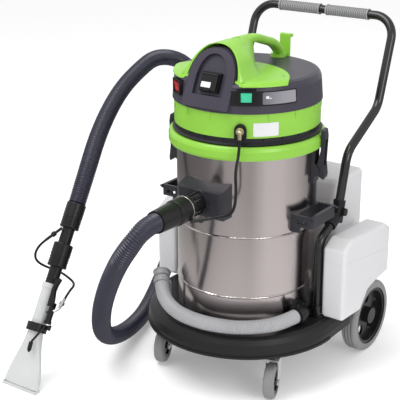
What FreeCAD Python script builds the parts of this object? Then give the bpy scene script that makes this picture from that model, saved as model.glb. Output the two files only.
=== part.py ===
import FreeCAD, Part
import math
import os

# Spray-extraction carpet cleaner: a steel drum on a wheeled dolly, a lifting motor head,
# a saddle-shaped clean-water tank, a push handle, and a hose with a spray wand.
# Millimetres. +Z up, front of the machine towards -Y, its right side towards +X.
# The origin is on the floor, on the drum's axis.

V = FreeCAD.Vector
X_AXIS = V(1, 0, 0)
Y_AXIS = V(0, 1, 0)
Z_AXIS = V(0, 0, 1)

# ---------------------------------------------------------------- driving dimensions
GAP = 0.6                 # clearance between separate covers
RUN_FIT = 0.05            # radial clearance of a shaft that turns

# drum
DRUM_R = 195.0            # outer radius of the steel drum
DRUM_WALL = 1.2
DRUM_TOP = 688.0          # height of the drum's rolled rim
BEAD_R = 3.0              # the two stiffening beads and the rolled rim
LOW_BEAD_Z = 273.0
HIGH_BEAD_Z = 448.0

# dolly
DOLLY_R = 282.0           # outer radius of the round front
DOLLY_SIDE_END = 120.0    # where its full width ends, in front of the rear wheels
DOLLY_BOTTOM = 132.0
DOLLY_TOP = 188.0
DOLLY_WALL = 5.0
RECESS = 6.0              # how deep the drum stands in the dolly
DRUM_BOTTOM = DOLLY_TOP - RECESS
DECK_HALF = 226.0         # rear deck between the wheels
DECK_END = 322.0

# wheels
WHEEL_R = 108.0           # rear wheels
WHEEL_W = 46.0
WHEEL_OUT = DECK_HALF + 62.0
WHEEL_Y = 246.0
HUB_R = WHEEL_R - 22.0
AXLE_R = 10.0
CASTER_R = 50.0
CASTER_W = 30.0
CASTER_X = 186.0
CASTER_Y = -139.0
CASTER_TRAIL = 30.0
CASTER_ANGLE = -71.0      # where the trail points, from +X
CASTER_PLATE_TOP = DOLLY_BOTTOM - 8.0
STEM_R = 9.0
STEM_TOP = CASTER_PLATE_TOP + 36.0

# hose inlet, on the drum's front
INLET_Z = DRUM_TOP - 136.0
INLET_BORE = 25.0
INLET_FACE = -DRUM_R - 39.0
BOX_HALF = 72.0
BOX_LOW = INLET_Z - 44.0
BOX_HIGH = INLET_Z + 48.0
CUFF_START = INLET_FACE - 62.0
CUFF_END = CUFF_START - 124.0
HOSE_R = 26.0             # suction hose

# latches and tool holders, on the drum's sides
LATCH_ANGLE = 102.0       # right latch, from the front towards the right side
LATCH_W = 34.0
LATCH_PIVOT = DRUM_TOP - 84.0
LATCH_R = DRUM_R + 16.0   # the pivot's distance from the drum's axis
LATCH_GAP = 0.8           # between the closed lever and the ring
PIN_R = 3.0
HOLDER_TOP = 505.0
HOLDER_LOW = HOLDER_TOP - 50.0
HOLDER_HALF = 65.0
HOLDER_OUT = DRUM_R + 55.0

# drain
DRAIN_R = 20.0            # drain hose
DRAIN_Z = DRUM_BOTTOM + 34.0
DRAIN_ANGLE = 80.0        # from the front towards the right side
DRAIN_BORE = 18.0
DRAIN_REACH = 44.0
DRAIN_BEND = 27.0         # the elbow's bend
CLIP_IN = 24.0

# push handle and frame tubes
TUBE_R = 12.5
TUBE_WALL = 1.5
TUBE_X = DRUM_R + 37.0
TUBE_Y = 12.0
FRAME_BEND_Z = 412.0
JOINT_Y = 110.0
JOINT_Z = 458.0
BEND_Y = 155.0            # the handle's lower bend
BEND_Z = 630.0
ELBOW_Y = 328.0           # its upper bend
ELBOW_Z = 722.0
HANDLE_Y = 413.0          # depth and height of the crossbar
HANDLE_Z = 966.0
GRIP_R = TUBE_R + 3.0
GRIP_IN = 11.0
GRIP_OUT = 149.0

# clean-water tank
TANK_IN = TUBE_X + 18.0   # inner face of a wing
TANK_HALF = TANK_IN + 70.0
TANK_BACK = 322.0
TANK_TOP = 540.0
TANK_WALL = 4.0
TANK_SKIN_R = 11.0        # rounding of the wings' edges
DRUM_CLEAR = 8.0
WING_TOP = 424.0
WING_BACK = 275.0
ARCH_Z = 2 * WHEEL_R + 20.0
BRIDGE_FRONT = 150.0
BACK_HALF = 205.0
FILLER_Y = 272.0
FILLER_R = 34.0
CAP_R = FILLER_R + 8.0

# motor head, from its ring upwards
RING_R = DRUM_R + 22.0    # green clamping ring
RING_BOTTOM = DRUM_TOP - 18.0
RING_TOP = DRUM_TOP + 18.0
SEAL_H = 22.0
SEAL_IN = DRUM_R - 13.0
BAND_R = DRUM_R + 6.0     # green skirt band
BAND_BOTTOM = RING_TOP + SEAL_H
BAND_H = 65.0
BAND_RIBS = 16
COVER_R = DRUM_R + 10.0   # dark motor cover, at its lower edge
COVER_TOP_R = COVER_R - 5.0
COVER_BOTTOM = BAND_BOTTOM + BAND_H
COVER_H = 77.0
COVER_TOP = COVER_BOTTOM + COVER_H
COVER_SHOULDER = COVER_TOP - 18.0
HEAD_WALL = 3.0
NOSE_HALF = 72.0          # arched front housing
NOSE_TOP = COVER_TOP + 78.0
NOSE_BACK = -92.0
FACE_LOW_Y = -COVER_R - 8.0      # its leaning front face, at the cover's lower edge
FACE_HIGH_Y = FACE_LOW_Y + 70.0  # and at its crown
POCKET_DEEP = 11.0        # the shallow recess in that face
POCKET_HALF = 47.0
POCKET_LOW = COVER_BOTTOM + 39.0
SOCKET_HALF = 29.0        # the appliance socket in the recess
SOCKET_LOW = COVER_BOTTOM + 49.0
SOCKET_HIGH = COVER_BOTTOM + 97.0
FLAP_OUT = 2.0
FLAP_T = 3.0
SWITCH_ANGLE = 32.0       # switches, from the front
SWITCH_Z = COVER_BOTTOM + 45.0
SWITCH_HALF = 25.0
SWITCH_RISE = 20.0
ROCKER_PIVOT = -COVER_R + 3.0
ROCKER_RISE = 12.0       # half the height of a rocker; its window is 3 larger
HOOD_HALF = NOSE_HALF + 14.0     # green hood over the nose
HOOD_TOP = NOSE_TOP + 13.0
HOOD_END = 4.0            # where the hood has narrowed to the carrying handle
HOOD_END_HALF = 19.0
CARRY_W = 34.0            # carrying handle
CARRY_T = 24.0
CARRY_END = 174.0
HOOK_Y = CARRY_END + 15.0
PLATE = 5.0               # the green plate on the cover's top
PLATE_BACK_R = 190.0
PLATE_BACK_Y = -150.0
SCREW_X = 146.0
SCREW_Y = -55.0
COUPLING_ANGLE = 28.0
COUPLING_Z = BAND_BOTTOM + 24.0
COUPLING_BORE = 7.0
GLAND_Z = COVER_BOTTOM + 19.0
GLAND_R = 13.0            # its hole through the cover

# inside the head
MOTOR_PLATE_Z = BAND_BOTTOM + 3.0
MOTOR_PLATE_T = 6.0
MOTOR_X = 78.0
MOTOR_R = 62.0
CAGE_LOW = RING_TOP - 210.0
CAGE_R = 48.0
BALL_R = 38.0
FILTER_R = 90.0
FILTER_H = 94.0

# spray wand and its hoses
NOZZLE_MOUTH = V(-407, -527, 0)
NECK = V(-405, -452, 155)
WAND_TOP = V(-420, -245, 463)
WAND_R = 18.0
CLEAR_R = 20.5
CLEAR_TOP = 128.0
WAND_CUFF_R = 28.0
LOWER_CUFF = (180.0, 249.0)
NOZZLE_HALF = 63.0        # half the width of the nozzle's mouth
VALVE_RIGHT = 40.0
VALVE_FRONT = 12.0
TRIGGER_PIVOT = 72.0
TRIGGER_PIN_R = 2.4
SOLUTION_R = 4.0          # solution hose at the machine
THIN_R = 3.5              # thin hose at the wand

os.makedirs("parts", exist_ok=True)


# ---------------------------------------------------------------- helpers
def save(name, shapes):
    """Write one node: a single solid, or a group of separate solids."""
    group = shapes if isinstance(shapes, list) else [shapes]
    solids = [solid for shape in group for solid in shape.Solids]
    for solid in solids:
        if not solid.isValid() or solid.Volume <= 0:
            print("bad solid in", name)
    shape = solids[0] if len(solids) == 1 else Part.makeCompound(solids)
    shape.exportStep("parts/" + name + ".step")
    print(name, len(solids), round(sum(solid.Volume for solid in solids) / 1000, 1), "cm3")


def box(x0, x1, y0, y1, z0, z1):
    return Part.makeBox(x1 - x0, y1 - y0, z1 - z0, V(x0, y0, z0))


def rod(start, end, radius):
    along = end - start
    return Part.makeCylinder(radius, along.Length, start, along)


def pipe(start, end, outer, inner):
    return rod(start, end, outer).cut(rod(start, end, inner))


def disc(radius, z0, z1, x=0.0, y=0.0):
    return Part.makeCylinder(radius, z1 - z0, V(x, y, z0))


def annulus(outer, inner, z0, z1, x=0.0, y=0.0):
    return disc(outer, z0, z1, x, y).cut(disc(inner, z0, z1, x, y))


def fuse(shapes):
    return shapes[0].multiFuse(shapes[1:]).removeSplitter() if len(shapes) > 1 else shapes[0]


def revolve(points, x=0.0, y=0.0):
    """A closed outline of (radius, height) points turned about a vertical axis."""
    corners = [V(x + r, y, z) for r, z in points]
    face = Part.Face(Part.makePolygon(corners + corners[:1]))
    return face.revolve(V(x, y, 0), Z_AXIS, 360)


def spin(shape, degrees):
    """The shape turned about the drum's axis."""
    turned = shape.copy()
    turned.rotate(V(0, 0, 0), Z_AXIS, degrees)
    return turned


def mirrored(shape):
    return shape.mirror(V(0, 0, 0), X_AXIS)


def prism(outline, along):
    return Part.Face(Part.makePolygon(outline + outline[:1])).extrude(along)


def round_edges(shape, radius, keep):
    """Fillet the edges that keep(edge) picks."""
    edges = [edge for edge in shape.Edges if keep(edge)]
    return shape.makeFillet(radius, edges)


def is_upright(edge):
    ends = [vertex.Point for vertex in edge.Vertexes]
    if len(ends) != 2:
        return False
    along = ends[1] - ends[0]
    return along.Length > 1 and abs(along.z) > 0.99 * along.Length


def bent_wire(points, radii):
    """Straight runs joined by tangent arcs of the given radii at the inner points."""
    edges = []
    last = points[0]
    for before, corner, after, radius in zip(points, points[1:], points[2:], radii):
        one = (before - corner).normalize()
        two = (after - corner).normalize()
        half = one.getAngle(two) / 2
        reach = radius / math.tan(half)
        start = corner + one * reach
        end = corner + two * reach
        middle = corner + (one + two).normalize() * (radius / math.sin(half) - radius)
        if (start - last).Length > 1e-6:
            edges.append(Part.LineSegment(last, start).toShape())
        edges.append(Part.Arc(start, middle, end).toShape())
        last = end
    edges.append(Part.LineSegment(last, points[-1]).toShape())
    return Part.Wire(edges)


def swept(wire, section):
    """A solid made by moving a closed wire along a path."""
    shell = Part.BRepOffsetAPI.MakePipeShell(wire)
    shell.setFrenetMode(False)
    shell.add(section)
    shell.build()
    shell.makeSolid()
    return shell.shape()


def round_section(wire, radius):
    start = wire.Edges[0].Curve.value(wire.Edges[0].FirstParameter)
    ahead = wire.Edges[0].tangentAt(wire.Edges[0].FirstParameter)
    return Part.Wire(Part.makeCircle(radius, start, ahead))


def free_cord(name, points, radius):
    """A cord that lies free: each arc is as large as its two runs allow."""
    radii = []
    for before, corner, after in zip(points, points[1:], points[2:]):
        run = min((before - corner).Length, (after - corner).Length)
        half_turn = (math.pi - (before - corner).getAngle(after - corner)) / 2
        radii.append(0.45 * run / math.tan(half_turn))
    wire = bent_wire(points, radii)
    solid = swept(wire, round_section(wire, radius))
    share = solid.Volume / (math.pi * radius * radius * wire.Length)
    print(name, "length", round(wire.Length, 1), "volume share", round(share, 4))
    print("   radii", [round(value) for value in radii])
    print("   runs", [round((b - a).Length) for a, b in zip(points, points[1:])])
    return solid


def oval(centre, side, up, half_side, half_up, power=2.0, count=32):
    """A closed smooth curve round centre; a higher power makes it squarer."""
    points = []
    for step in range(count):
        angle = 2 * math.pi * step / count
        c = math.cos(angle)
        s = math.sin(angle)
        a = half_side * math.copysign(abs(c) ** (2 / power), c)
        b = half_up * math.copysign(abs(s) ** (2 / power), s)
        points.append(centre + side * a + up * b)
    curve = Part.BSplineCurve()
    curve.interpolate(points, PeriodicFlag=True)
    return Part.Wire(curve.toShape())


def on_drum(degrees, radius, z):
    """A point round the drum, its angle counted from the front towards the right side."""
    angle = math.radians(degrees)
    return V(radius * math.sin(angle), -radius * math.cos(angle), z)


# ---------------------------------------------------------------- dolly
def dolly():
    skirt = 18.0
    outline = [
        (0, DOLLY_BOTTOM),
        (DOLLY_R, DOLLY_BOTTOM),
        (DOLLY_R, DOLLY_TOP - 2 * skirt),
        (DOLLY_R - 4, DOLLY_TOP - skirt),
        (DOLLY_R - 12, DOLLY_TOP - 6),
        (DOLLY_R - 24, DOLLY_TOP),
        (0, DOLLY_TOP),
    ]
    half = DOLLY_R
    side = [
        V(-half, 0, DOLLY_BOTTOM),
        V(half, 0, DOLLY_BOTTOM),
        V(half, 0, DOLLY_TOP - 2 * skirt),
        V(half - 4, 0, DOLLY_TOP - skirt),
        V(half - 12, 0, DOLLY_TOP - 6),
        V(half - 24, 0, DOLLY_TOP),
        V(24 - half, 0, DOLLY_TOP),
        V(12 - half, 0, DOLLY_TOP - 6),
        V(4 - half, 0, DOLLY_TOP - skirt),
        V(-half, 0, DOLLY_TOP - 2 * skirt),
    ]
    front = revolve(outline).common(box(-half, half, -half, 0, 0, DOLLY_TOP))
    middle = prism(side, V(0, DOLLY_SIDE_END, 0))
    deck = box(-DECK_HALF, DECK_HALF, DOLLY_SIDE_END, DECK_END, DOLLY_TOP - 40, DOLLY_TOP)
    deck = round_edges(deck, 24, lambda e: is_upright(e) and e.CenterOfMass.y > DECK_END - 1)
    body = fuse([front, middle, deck])
    inner = DOLLY_R - DOLLY_WALL
    low = DOLLY_BOTTOM - 1
    roof = DOLLY_TOP - RECESS - DOLLY_WALL
    hollow_front = disc(inner, low, DOLLY_TOP - 34).common(box(-half, half, -half, 0, 0, 400))
    hollow_side = box(-inner, inner, 0, DOLLY_SIDE_END - DOLLY_WALL, low, DOLLY_TOP - 34)
    hollow_top = disc(DOLLY_R - 30, low, roof)
    hollow_deck = box(
        DOLLY_WALL - DECK_HALF, DECK_HALF - DOLLY_WALL,
        DOLLY_SIDE_END - 2 * DOLLY_WALL, DECK_END - DOLLY_WALL,
        DOLLY_TOP - 60, roof,
    )
    body = body.cut(fuse([hollow_front, hollow_side])).cut(hollow_top).cut(hollow_deck)
    lip = annulus(DOLLY_R + 2.5, DOLLY_R - DOLLY_WALL, DOLLY_BOTTOM, DOLLY_BOTTOM + 7)
    lip = lip.common(box(-half - 9, half + 9, -half - 9, 0, 0, 400))
    pads = [
        disc(30, CASTER_PLATE_TOP, DOLLY_TOP - RECESS - 1, side * CASTER_X, CASTER_Y)
        for side in (-1, 1)
    ]
    brackets = []
    for x in (20 - DECK_HALF, DECK_HALF - 32):
        plate = box(x, x + 12, WHEEL_Y - 34, WHEEL_Y + 34, WHEEL_R - 22, roof + 1)
        brackets.append(plate.cut(rod(V(x - 1, WHEEL_Y, WHEEL_R), V(x + 13, WHEEL_Y, WHEEL_R), AXLE_R)))
    body = fuse([body, lip] + pads + brackets)
    body = body.cut(disc(DRUM_R + 2, DRUM_BOTTOM, DOLLY_TOP + 1))
    for side in (-1, 1):
        body = body.cut(disc(STEM_R, 0, STEM_TOP, side * CASTER_X, CASTER_Y))
    return body


save("dolly_base", dolly())


# ---------------------------------------------------------------- casters and rear wheels
def caster(side):
    """A fork on a stem that turns in the dolly, and its wheel. Built with its trail along +X."""
    fork_gap = CASTER_W / 2 + 1.5
    plate = disc(26, CASTER_PLATE_TOP - 7, CASTER_PLATE_TOP - GAP)
    cup = Part.makeCone(16, 24, 9, V(0, 0, CASTER_PLATE_TOP - 15))
    stem = disc(STEM_R - RUN_FIT, CASTER_PLATE_TOP - 1, STEM_TOP - 2)
    bridge = box(-22, 26, -fork_gap - 3, fork_gap + 3, CASTER_PLATE_TOP - 19, CASTER_PLATE_TOP - 14)
    legs = []
    for flank in (-1, 1):
        low = fork_gap if flank > 0 else -fork_gap - 3
        outline = [
            V(-22, low, CASTER_PLATE_TOP - 14),
            V(26, low, CASTER_PLATE_TOP - 14),
            V(CASTER_TRAIL + 11, low, CASTER_R - 3),
            V(CASTER_TRAIL + 6, low, CASTER_R - 11),
            V(CASTER_TRAIL - 6, low, CASTER_R - 11),
            V(CASTER_TRAIL - 12, low, CASTER_R - 2),
        ]
        legs.append(prism(outline, V(0, 3, 0)))
    pin = rod(
        V(CASTER_TRAIL, -fork_gap - 7, CASTER_R), V(CASTER_TRAIL, fork_gap + 7, CASTER_R), 5
    )
    fork = fuse([plate, cup, stem, bridge, pin] + legs)
    half = CASTER_W / 2
    centre = V(CASTER_TRAIL, 0, CASTER_R)
    tyre = rod(centre - Y_AXIS * half, centre + Y_AXIS * half, CASTER_R)
    tyre = round_edges(tyre, 8, lambda e: True)
    tyre = tyre.cut(rod(centre - Y_AXIS * half, centre + Y_AXIS * half, 33))
    core = pipe(centre - Y_AXIS * (half - 1), centre + Y_AXIS * (half - 1), 33, 5 + RUN_FIT)
    for flank in (-1, 1):
        dish = rod(centre + Y_AXIS * flank * half, centre + Y_AXIS * flank * (half - 6), 27)
        boss = rod(centre + Y_AXIS * flank * half, centre + Y_AXIS * flank * (half - 7), 11)
        core = core.cut(dish.cut(boss))
    for shape in (fork, tyre, core):
        shape.rotate(V(0, 0, 0), Z_AXIS, CASTER_ANGLE)
        shape.translate(V(side * CASTER_X, CASTER_Y, 0))
    return fork, [tyre, core]


def rear_wheel():
    """The right rear wheel: a grooved tyre on a hub with five openings."""
    inner = V(WHEEL_OUT - WHEEL_W, WHEEL_Y, WHEEL_R)
    outer = V(WHEEL_OUT, WHEEL_Y, WHEEL_R)
    tyre = rod(inner, outer, WHEEL_R)
    tyre = round_edges(tyre, 9, lambda e: True).cut(rod(inner, outer, HUB_R))
    for share in (0.28, 0.5, 0.72):
        at = inner + X_AXIS * WHEEL_W * share
        groove = pipe(at - X_AXIS * 1.5, at + X_AXIS * 1.5, WHEEL_R + 2, WHEEL_R - 3)
        tyre = tyre.cut(groove)
    rim = pipe(inner + X_AXIS * 3, outer - X_AXIS * 3, HUB_R, HUB_R - 9)
    web = pipe(inner + X_AXIS * 18, inner + X_AXIS * 26, HUB_R - 8, 20)
    for spoke in range(5):
        angle = 2 * math.pi * spoke / 5 + math.pi / 2
        hole = inner + V(0, 52 * math.cos(angle), 52 * math.sin(angle))
        web = web.cut(rod(hole, hole + X_AXIS * WHEEL_W, 17))
    nave = rod(inner, outer, 24)
    hub = fuse([rim, web, nave]).cut(rod(inner, outer - X_AXIS * 5, AXLE_R + RUN_FIT))
    return [tyre, hub]


for side, name in ((-1, "left"), (1, "right")):
    fork, wheel = caster(side)
    save("caster_fork_" + name, fork)
    save("caster_wheel_" + name, wheel)

wheel = rear_wheel()
save("rear_wheel_right", wheel)
save("rear_wheel_left", [mirrored(shape) for shape in wheel])
axle_half = WHEEL_OUT - 6
save("rear_axle", rod(V(-axle_half, WHEEL_Y, WHEEL_R), V(axle_half, WHEEL_Y, WHEEL_R), AXLE_R))


# ---------------------------------------------------------------- drum


def drum():
    bottom = DRUM_BOTTOM
    outline = [
        (0, bottom),
        (DRUM_R - 12, bottom),
        (DRUM_R - 3, bottom + 4),
        (DRUM_R, bottom + 12),
        (DRUM_R, DRUM_TOP),
        (DRUM_R - DRUM_WALL, DRUM_TOP),
        (DRUM_R - DRUM_WALL, bottom + 12 + DRUM_WALL),
        (DRUM_R - 4, bottom + 4 + DRUM_WALL),
        (DRUM_R - 12, bottom + DRUM_WALL),
        (0, bottom + DRUM_WALL),
    ]
    wall = revolve(outline)
    for height in (LOW_BEAD_Z, HIGH_BEAD_Z):
        bead = Part.makeTorus(DRUM_R - 0.5, BEAD_R, V(0, 0, height))
        bead = bead.cut(disc(DRUM_R - DRUM_WALL, height - 9, height + 9))
        wall = wall.fuse(bead)
    rim = Part.makeTorus(DRUM_R, BEAD_R, V(0, 0, DRUM_TOP - BEAD_R))
    wall = wall.fuse(rim)
    wall = wall.cut(rod(V(0, -DRUM_R + 30, INLET_Z), V(0, -DRUM_R - 30, INLET_Z), INLET_BORE))
    hole_start = on_drum(DRAIN_ANGLE, DRUM_R - 30, DRAIN_Z)
    hole_end = on_drum(DRAIN_ANGLE, DRUM_R + 9, DRAIN_Z)
    return wall.cut(rod(hole_start, hole_end, DRAIN_BORE))


save("drum", drum())


# ---------------------------------------------------------------- hose inlet


def inlet_box():
    """A hollow housing on the drum's front, open to the drum at its back."""
    body = box(-BOX_HALF, BOX_HALF, INLET_FACE, -DRUM_R + 40, BOX_LOW, BOX_HIGH)
    body = round_edges(body, 14, lambda e: e.BoundBox.YMax < INLET_FACE + 1)
    wedge = prism(
        [V(-BOX_HALF - 1, INLET_FACE - 1, BOX_HIGH - 16), V(-BOX_HALF - 1, INLET_FACE - 1, BOX_HIGH + 1),
         V(-BOX_HALF - 1, -DRUM_R + 14, BOX_HIGH + 1)],
        V(2 * BOX_HALF + 2, 0, 0),
    )
    body = body.cut(wedge)
    inside = box(-BOX_HALF + 4, BOX_HALF - 4, INLET_FACE + 8, -DRUM_R + 41, BOX_LOW + 4, BOX_HIGH - 20)
    body = body.cut(inside)
    body = body.cut(disc(DRUM_R + 0.3, BOX_LOW - 1, BOX_HIGH + 1))
    collar = rod(V(0, INLET_FACE - 5, INLET_Z), V(0, INLET_FACE + 1, INLET_Z), INLET_BORE + 9)
    bore = rod(V(0, INLET_FACE - 9, INLET_Z), V(0, INLET_FACE + 9, INLET_Z), INLET_BORE)
    return fuse([body, collar]).cut(bore)


def inlet_swivel():
    """The ribbed connector that the hose's cuff turns on."""
    tail = INLET_FACE + 20
    body = rod(V(0, tail, INLET_Z), V(0, CUFF_START - 4, INLET_Z), INLET_BORE - RUN_FIT)
    front = rod(V(0, INLET_FACE - 6, INLET_Z), V(0, CUFF_START, INLET_Z), INLET_BORE + 3)
    ribs = []
    for step in range(10):
        rib = box(-2.5, 2.5, INLET_FACE - 40, INLET_FACE - 7, 0, INLET_BORE + 6)
        rib.rotate(V(0, 0, 0), Y_AXIS, 36 * step)
        rib.translate(V(0, 0, INLET_Z))
        ribs.append(rib)
    bore = rod(V(0, tail + 1, INLET_Z), V(0, CUFF_START - 5, INLET_Z), INLET_BORE - 4)
    return fuse([body, front] + ribs).cut(bore)


def hose_cuff():
    """The moulded cuff at the machine's end of the suction hose."""
    start = V(0, CUFF_START - GAP, INLET_Z)
    waist = V(0, CUFF_START - 48, INLET_Z)
    end = V(0, CUFF_END, INLET_Z)
    wide = round_edges(rod(start, waist, HOSE_R + 9), 4, lambda e: True)
    taper = Part.makeCone(HOSE_R + 7, HOSE_R + 4, (end - waist).Length + 4, waist - Y_AXIS * -4, -Y_AXIS)
    grooves = pipe(waist - Y_AXIS * 6, waist - Y_AXIS * 9, HOSE_R + 9, HOSE_R + 5.5)
    body = fuse([wide, taper]).cut(grooves)
    body = body.cut(rod(start + Y_AXIS, V(0, CUFF_START - 4 - GAP, INLET_Z), INLET_BORE + RUN_FIT))
    return body.cut(rod(start + Y_AXIS, end - Y_AXIS, INLET_BORE - 4))


save("inlet_box", inlet_box())
save("inlet_swivel", inlet_swivel())
save("hose_cuff", hose_cuff())


# ---------------------------------------------------------------- latches and tool holders


def latch():
    """The right lever, seen along its pivot, which lies along Y while the lever is at +X."""
    half = LATCH_W / 2
    nose = RING_R + LATCH_GAP
    outline = [
        V(LATCH_R - 4, 0, LATCH_PIVOT - 5), V(LATCH_R + 6, 0, LATCH_PIVOT - 16),
        V(LATCH_R + 17, 0, LATCH_PIVOT - 22), V(LATCH_R + 19, 0, LATCH_PIVOT - 12),
        V(LATCH_R + 15, 0, LATCH_PIVOT + 24), V(RING_R + 12, 0, RING_TOP - 6),
        V(RING_R + 9, 0, RING_TOP + 13), V(nose, 0, RING_TOP + 15),
        V(nose, 0, RING_BOTTOM - 6), V(LATCH_R + 4, 0, RING_BOTTOM - 20),
        V(LATCH_R - 5, 0, LATCH_PIVOT + 6),
    ]
    lever = prism([point - Y_AXIS * half for point in outline], V(0, LATCH_W, 0))
    slot = box(LATCH_R + 8, LATCH_R + 30, -half + 7, half - 7, LATCH_PIVOT + 16, RING_TOP - 14)
    lever = lever.cut(slot)
    eye = rod(V(LATCH_R, -half - 1, LATCH_PIVOT), V(LATCH_R, half + 1, LATCH_PIVOT), PIN_R + RUN_FIT)
    return spin(lever.cut(eye), LATCH_ANGLE - 90)


def latch_base():
    """The bracket on the drum that carries the lever, with the rail below it."""
    half = LATCH_W / 2
    ear_out = half + 5
    plate = box(DRUM_R - 12, DRUM_R + 8, -ear_out, ear_out, LATCH_PIVOT - 34, LATCH_PIVOT + 56)
    room = box(
        DRUM_R - 13, LATCH_R + 9, -half - 0.4, half + 0.4, LATCH_PIVOT - 13, LATCH_PIVOT + 57
    )
    plate = plate.cut(room.cut(disc(DRUM_R + 3, 0, 900)))
    ears = []
    for flank in (-1, 1):
        low = half + 0.4 if flank > 0 else -ear_out
        outline = [
            V(DRUM_R - 4, low, LATCH_PIVOT - 20), V(LATCH_R + 5, low, LATCH_PIVOT - 7),
            V(LATCH_R + 5, low, LATCH_PIVOT + 7), V(DRUM_R - 4, low, LATCH_PIVOT + 40),
        ]
        ears.append(prism(outline, V(0, 4.6, 0)))
    pin = rod(V(LATCH_R, -ear_out - 1, LATCH_PIVOT), V(LATCH_R, ear_out + 1, LATCH_PIVOT), PIN_R)
    rail = box(DRUM_R - 8, DRUM_R + 7, -9, 9, HOLDER_TOP + GAP, LATCH_PIVOT - 30)
    body = fuse([plate, pin, rail] + ears)
    return spin(body.cut(disc(DRUM_R + 0.3, 0, 900)), LATCH_ANGLE - 90)


def tool_holder():
    """An open frame on the drum's side that a wand or a coil of hose hangs in."""
    frame = box(DRUM_R - 30, HOLDER_OUT, -HOLDER_HALF, HOLDER_HALF, HOLDER_LOW + 18, HOLDER_TOP)
    frame = round_edges(frame, 9, lambda e: is_upright(e) and e.CenterOfMass.x > HOLDER_OUT - 1)
    gap = box(DRUM_R + 6, HOLDER_OUT - 10, 8 - HOLDER_HALF, HOLDER_HALF - 8, HOLDER_LOW, HOLDER_TOP + 1)
    slots = [
        box(x, x + 13, -HOLDER_HALF - 1, 9 - HOLDER_HALF, HOLDER_TOP - 24, HOLDER_TOP - 14)
        for x in (HOLDER_OUT - 30, HOLDER_OUT - 48)
    ]
    tongues = []
    for flank in (-1, 1):
        low = -HOLDER_HALF if flank < 0 else HOLDER_HALF - 8
        tongues.append(box(DRUM_R - 30, DRUM_R + 16, low, low + 8, HOLDER_LOW, HOLDER_TOP))
        tip = [
            V(HOLDER_OUT - 2, low, HOLDER_TOP - 12), V(HOLDER_OUT + 9, low, HOLDER_TOP - 5),
            V(HOLDER_OUT - 2, low, HOLDER_TOP),
        ]
        tongues.append(prism(tip, V(0, 8, 0)))
    body = fuse([frame.cut(gap)] + tongues)
    for slot in slots:
        body = body.cut(slot)
    return body.cut(disc(DRUM_R + 0.3, 0, 900))


save("latch_right", latch())
save("latch_left", spin(latch(), 180))
save("latch_bases", [latch_base(), spin(latch_base(), 180)])
holder = tool_holder()
save("tool_holders", [holder, mirrored(holder)])


# ---------------------------------------------------------------- drain
def drain_bend(start, corner, end, radius):
    """A round bar that runs to the corner, turns a right angle there and runs on."""
    out = (corner - start).normalize()
    along = (end - corner).normalize()
    turned = corner - out * DRAIN_BEND
    section = Part.Face(Part.Wire(Part.makeCircle(radius, turned, out)))
    quarter = section.revolve(turned + along * DRAIN_BEND, Z_AXIS * -1, 90)
    return fuse([rod(start, turned, radius), quarter, rod(corner + along * DRAIN_BEND, end, radius)])


def drain_elbow():
    """A stub from the drum that turns along it, with a clamp ring and the hose's socket."""
    out = on_drum(DRAIN_ANGLE, 1, 0).normalize()
    along = V(out.y, -out.x, 0)
    start = on_drum(DRAIN_ANGLE, DRUM_R - 6, DRAIN_Z)
    corner = on_drum(DRAIN_ANGLE, DRUM_R + 32, DRAIN_Z)
    end = corner + along * DRAIN_REACH
    flange_end = on_drum(DRAIN_ANGLE, DRUM_R + 9, DRAIN_Z)
    flange = rod(on_drum(DRAIN_ANGLE, DRUM_R - 2, DRAIN_Z), flange_end, DRAIN_R + 7)
    clamp = rod(end - along * 15, end - along * 4, DRAIN_R + 5.5)
    lug = rod(end - along * 9.5, end - along * 9.5 + Z_AXIS * (DRAIN_R + 13), 5)
    outside = fuse([drain_bend(start, corner, end, DRAIN_R + 3), flange, clamp, lug])
    outside = outside.cut(disc(DRUM_R + 0.3, 0, 900))
    neck = rod(start, on_drum(DRAIN_ANGLE, DRUM_R + 2, DRAIN_Z), DRAIN_BORE - RUN_FIT)
    bore = drain_bend(start - out * 3, corner, end + along, DRAIN_BORE - 3)
    return fuse([outside, neck]).cut(bore), end, along


elbow, drain_start, drain_ahead = drain_elbow()
save("drain_elbow", elbow)

# The hose follows the dolly's rim round the front, rising to its cap at the left.
DRAIN_ROUTE = [
    drain_start,
    drain_start + drain_ahead * 60,
    V(170, -190, 215),
    V(117, -229, 214),
    V(55, -250, 214),
    V(-10, -254, 214),
    V(-72, -244, 217),
    V(-122, -224, 229),
    V(-156, -197, 249),
    V(-181, -163, 276),
]
save("drain_hose", free_cord("drain_hose", DRAIN_ROUTE, DRAIN_R))


def drain_cap():
    """A cup over the hose's free end, with its clip that hooks on the dolly's rim."""
    end = DRAIN_ROUTE[-1]
    ahead = (end - DRAIN_ROUTE[-2]).normalize()
    cup = rod(end - ahead * 14, end + ahead * 5, DRAIN_R + 3).cut(rod(end - ahead * 15, end, DRAIN_R))
    rim = rod(end + ahead * 2, end + ahead * 5, DRAIN_R + 4.5)
    return fuse([cup, rim]), end, ahead


cap, drain_end, drain_up = drain_cap()
save("drain_cap", cap)


def drain_clip():
    """A strap round the hose below the cap, on a post that stands on the dolly."""
    at = drain_end - drain_up * 30
    strap = pipe(at - drain_up * 7, at + drain_up * 7, DRAIN_R + 3, DRAIN_R + 0.2)
    away = V(at.x, at.y, 0).normalize()
    foot = V(at.x, at.y, 0) + away * -CLIP_IN
    post = box(-9, 9, -3, 3, DOLLY_TOP, at.z)
    post.rotate(V(0, 0, 0), Z_AXIS, math.degrees(math.atan2(away.y, away.x)) + 90)
    post.translate(foot)
    hose = rod(at - drain_up * 40, at + drain_up * 40, DRAIN_R + 0.2)
    return fuse([strap, post.cut(hose)])


save("drain_clip", drain_clip())


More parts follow.
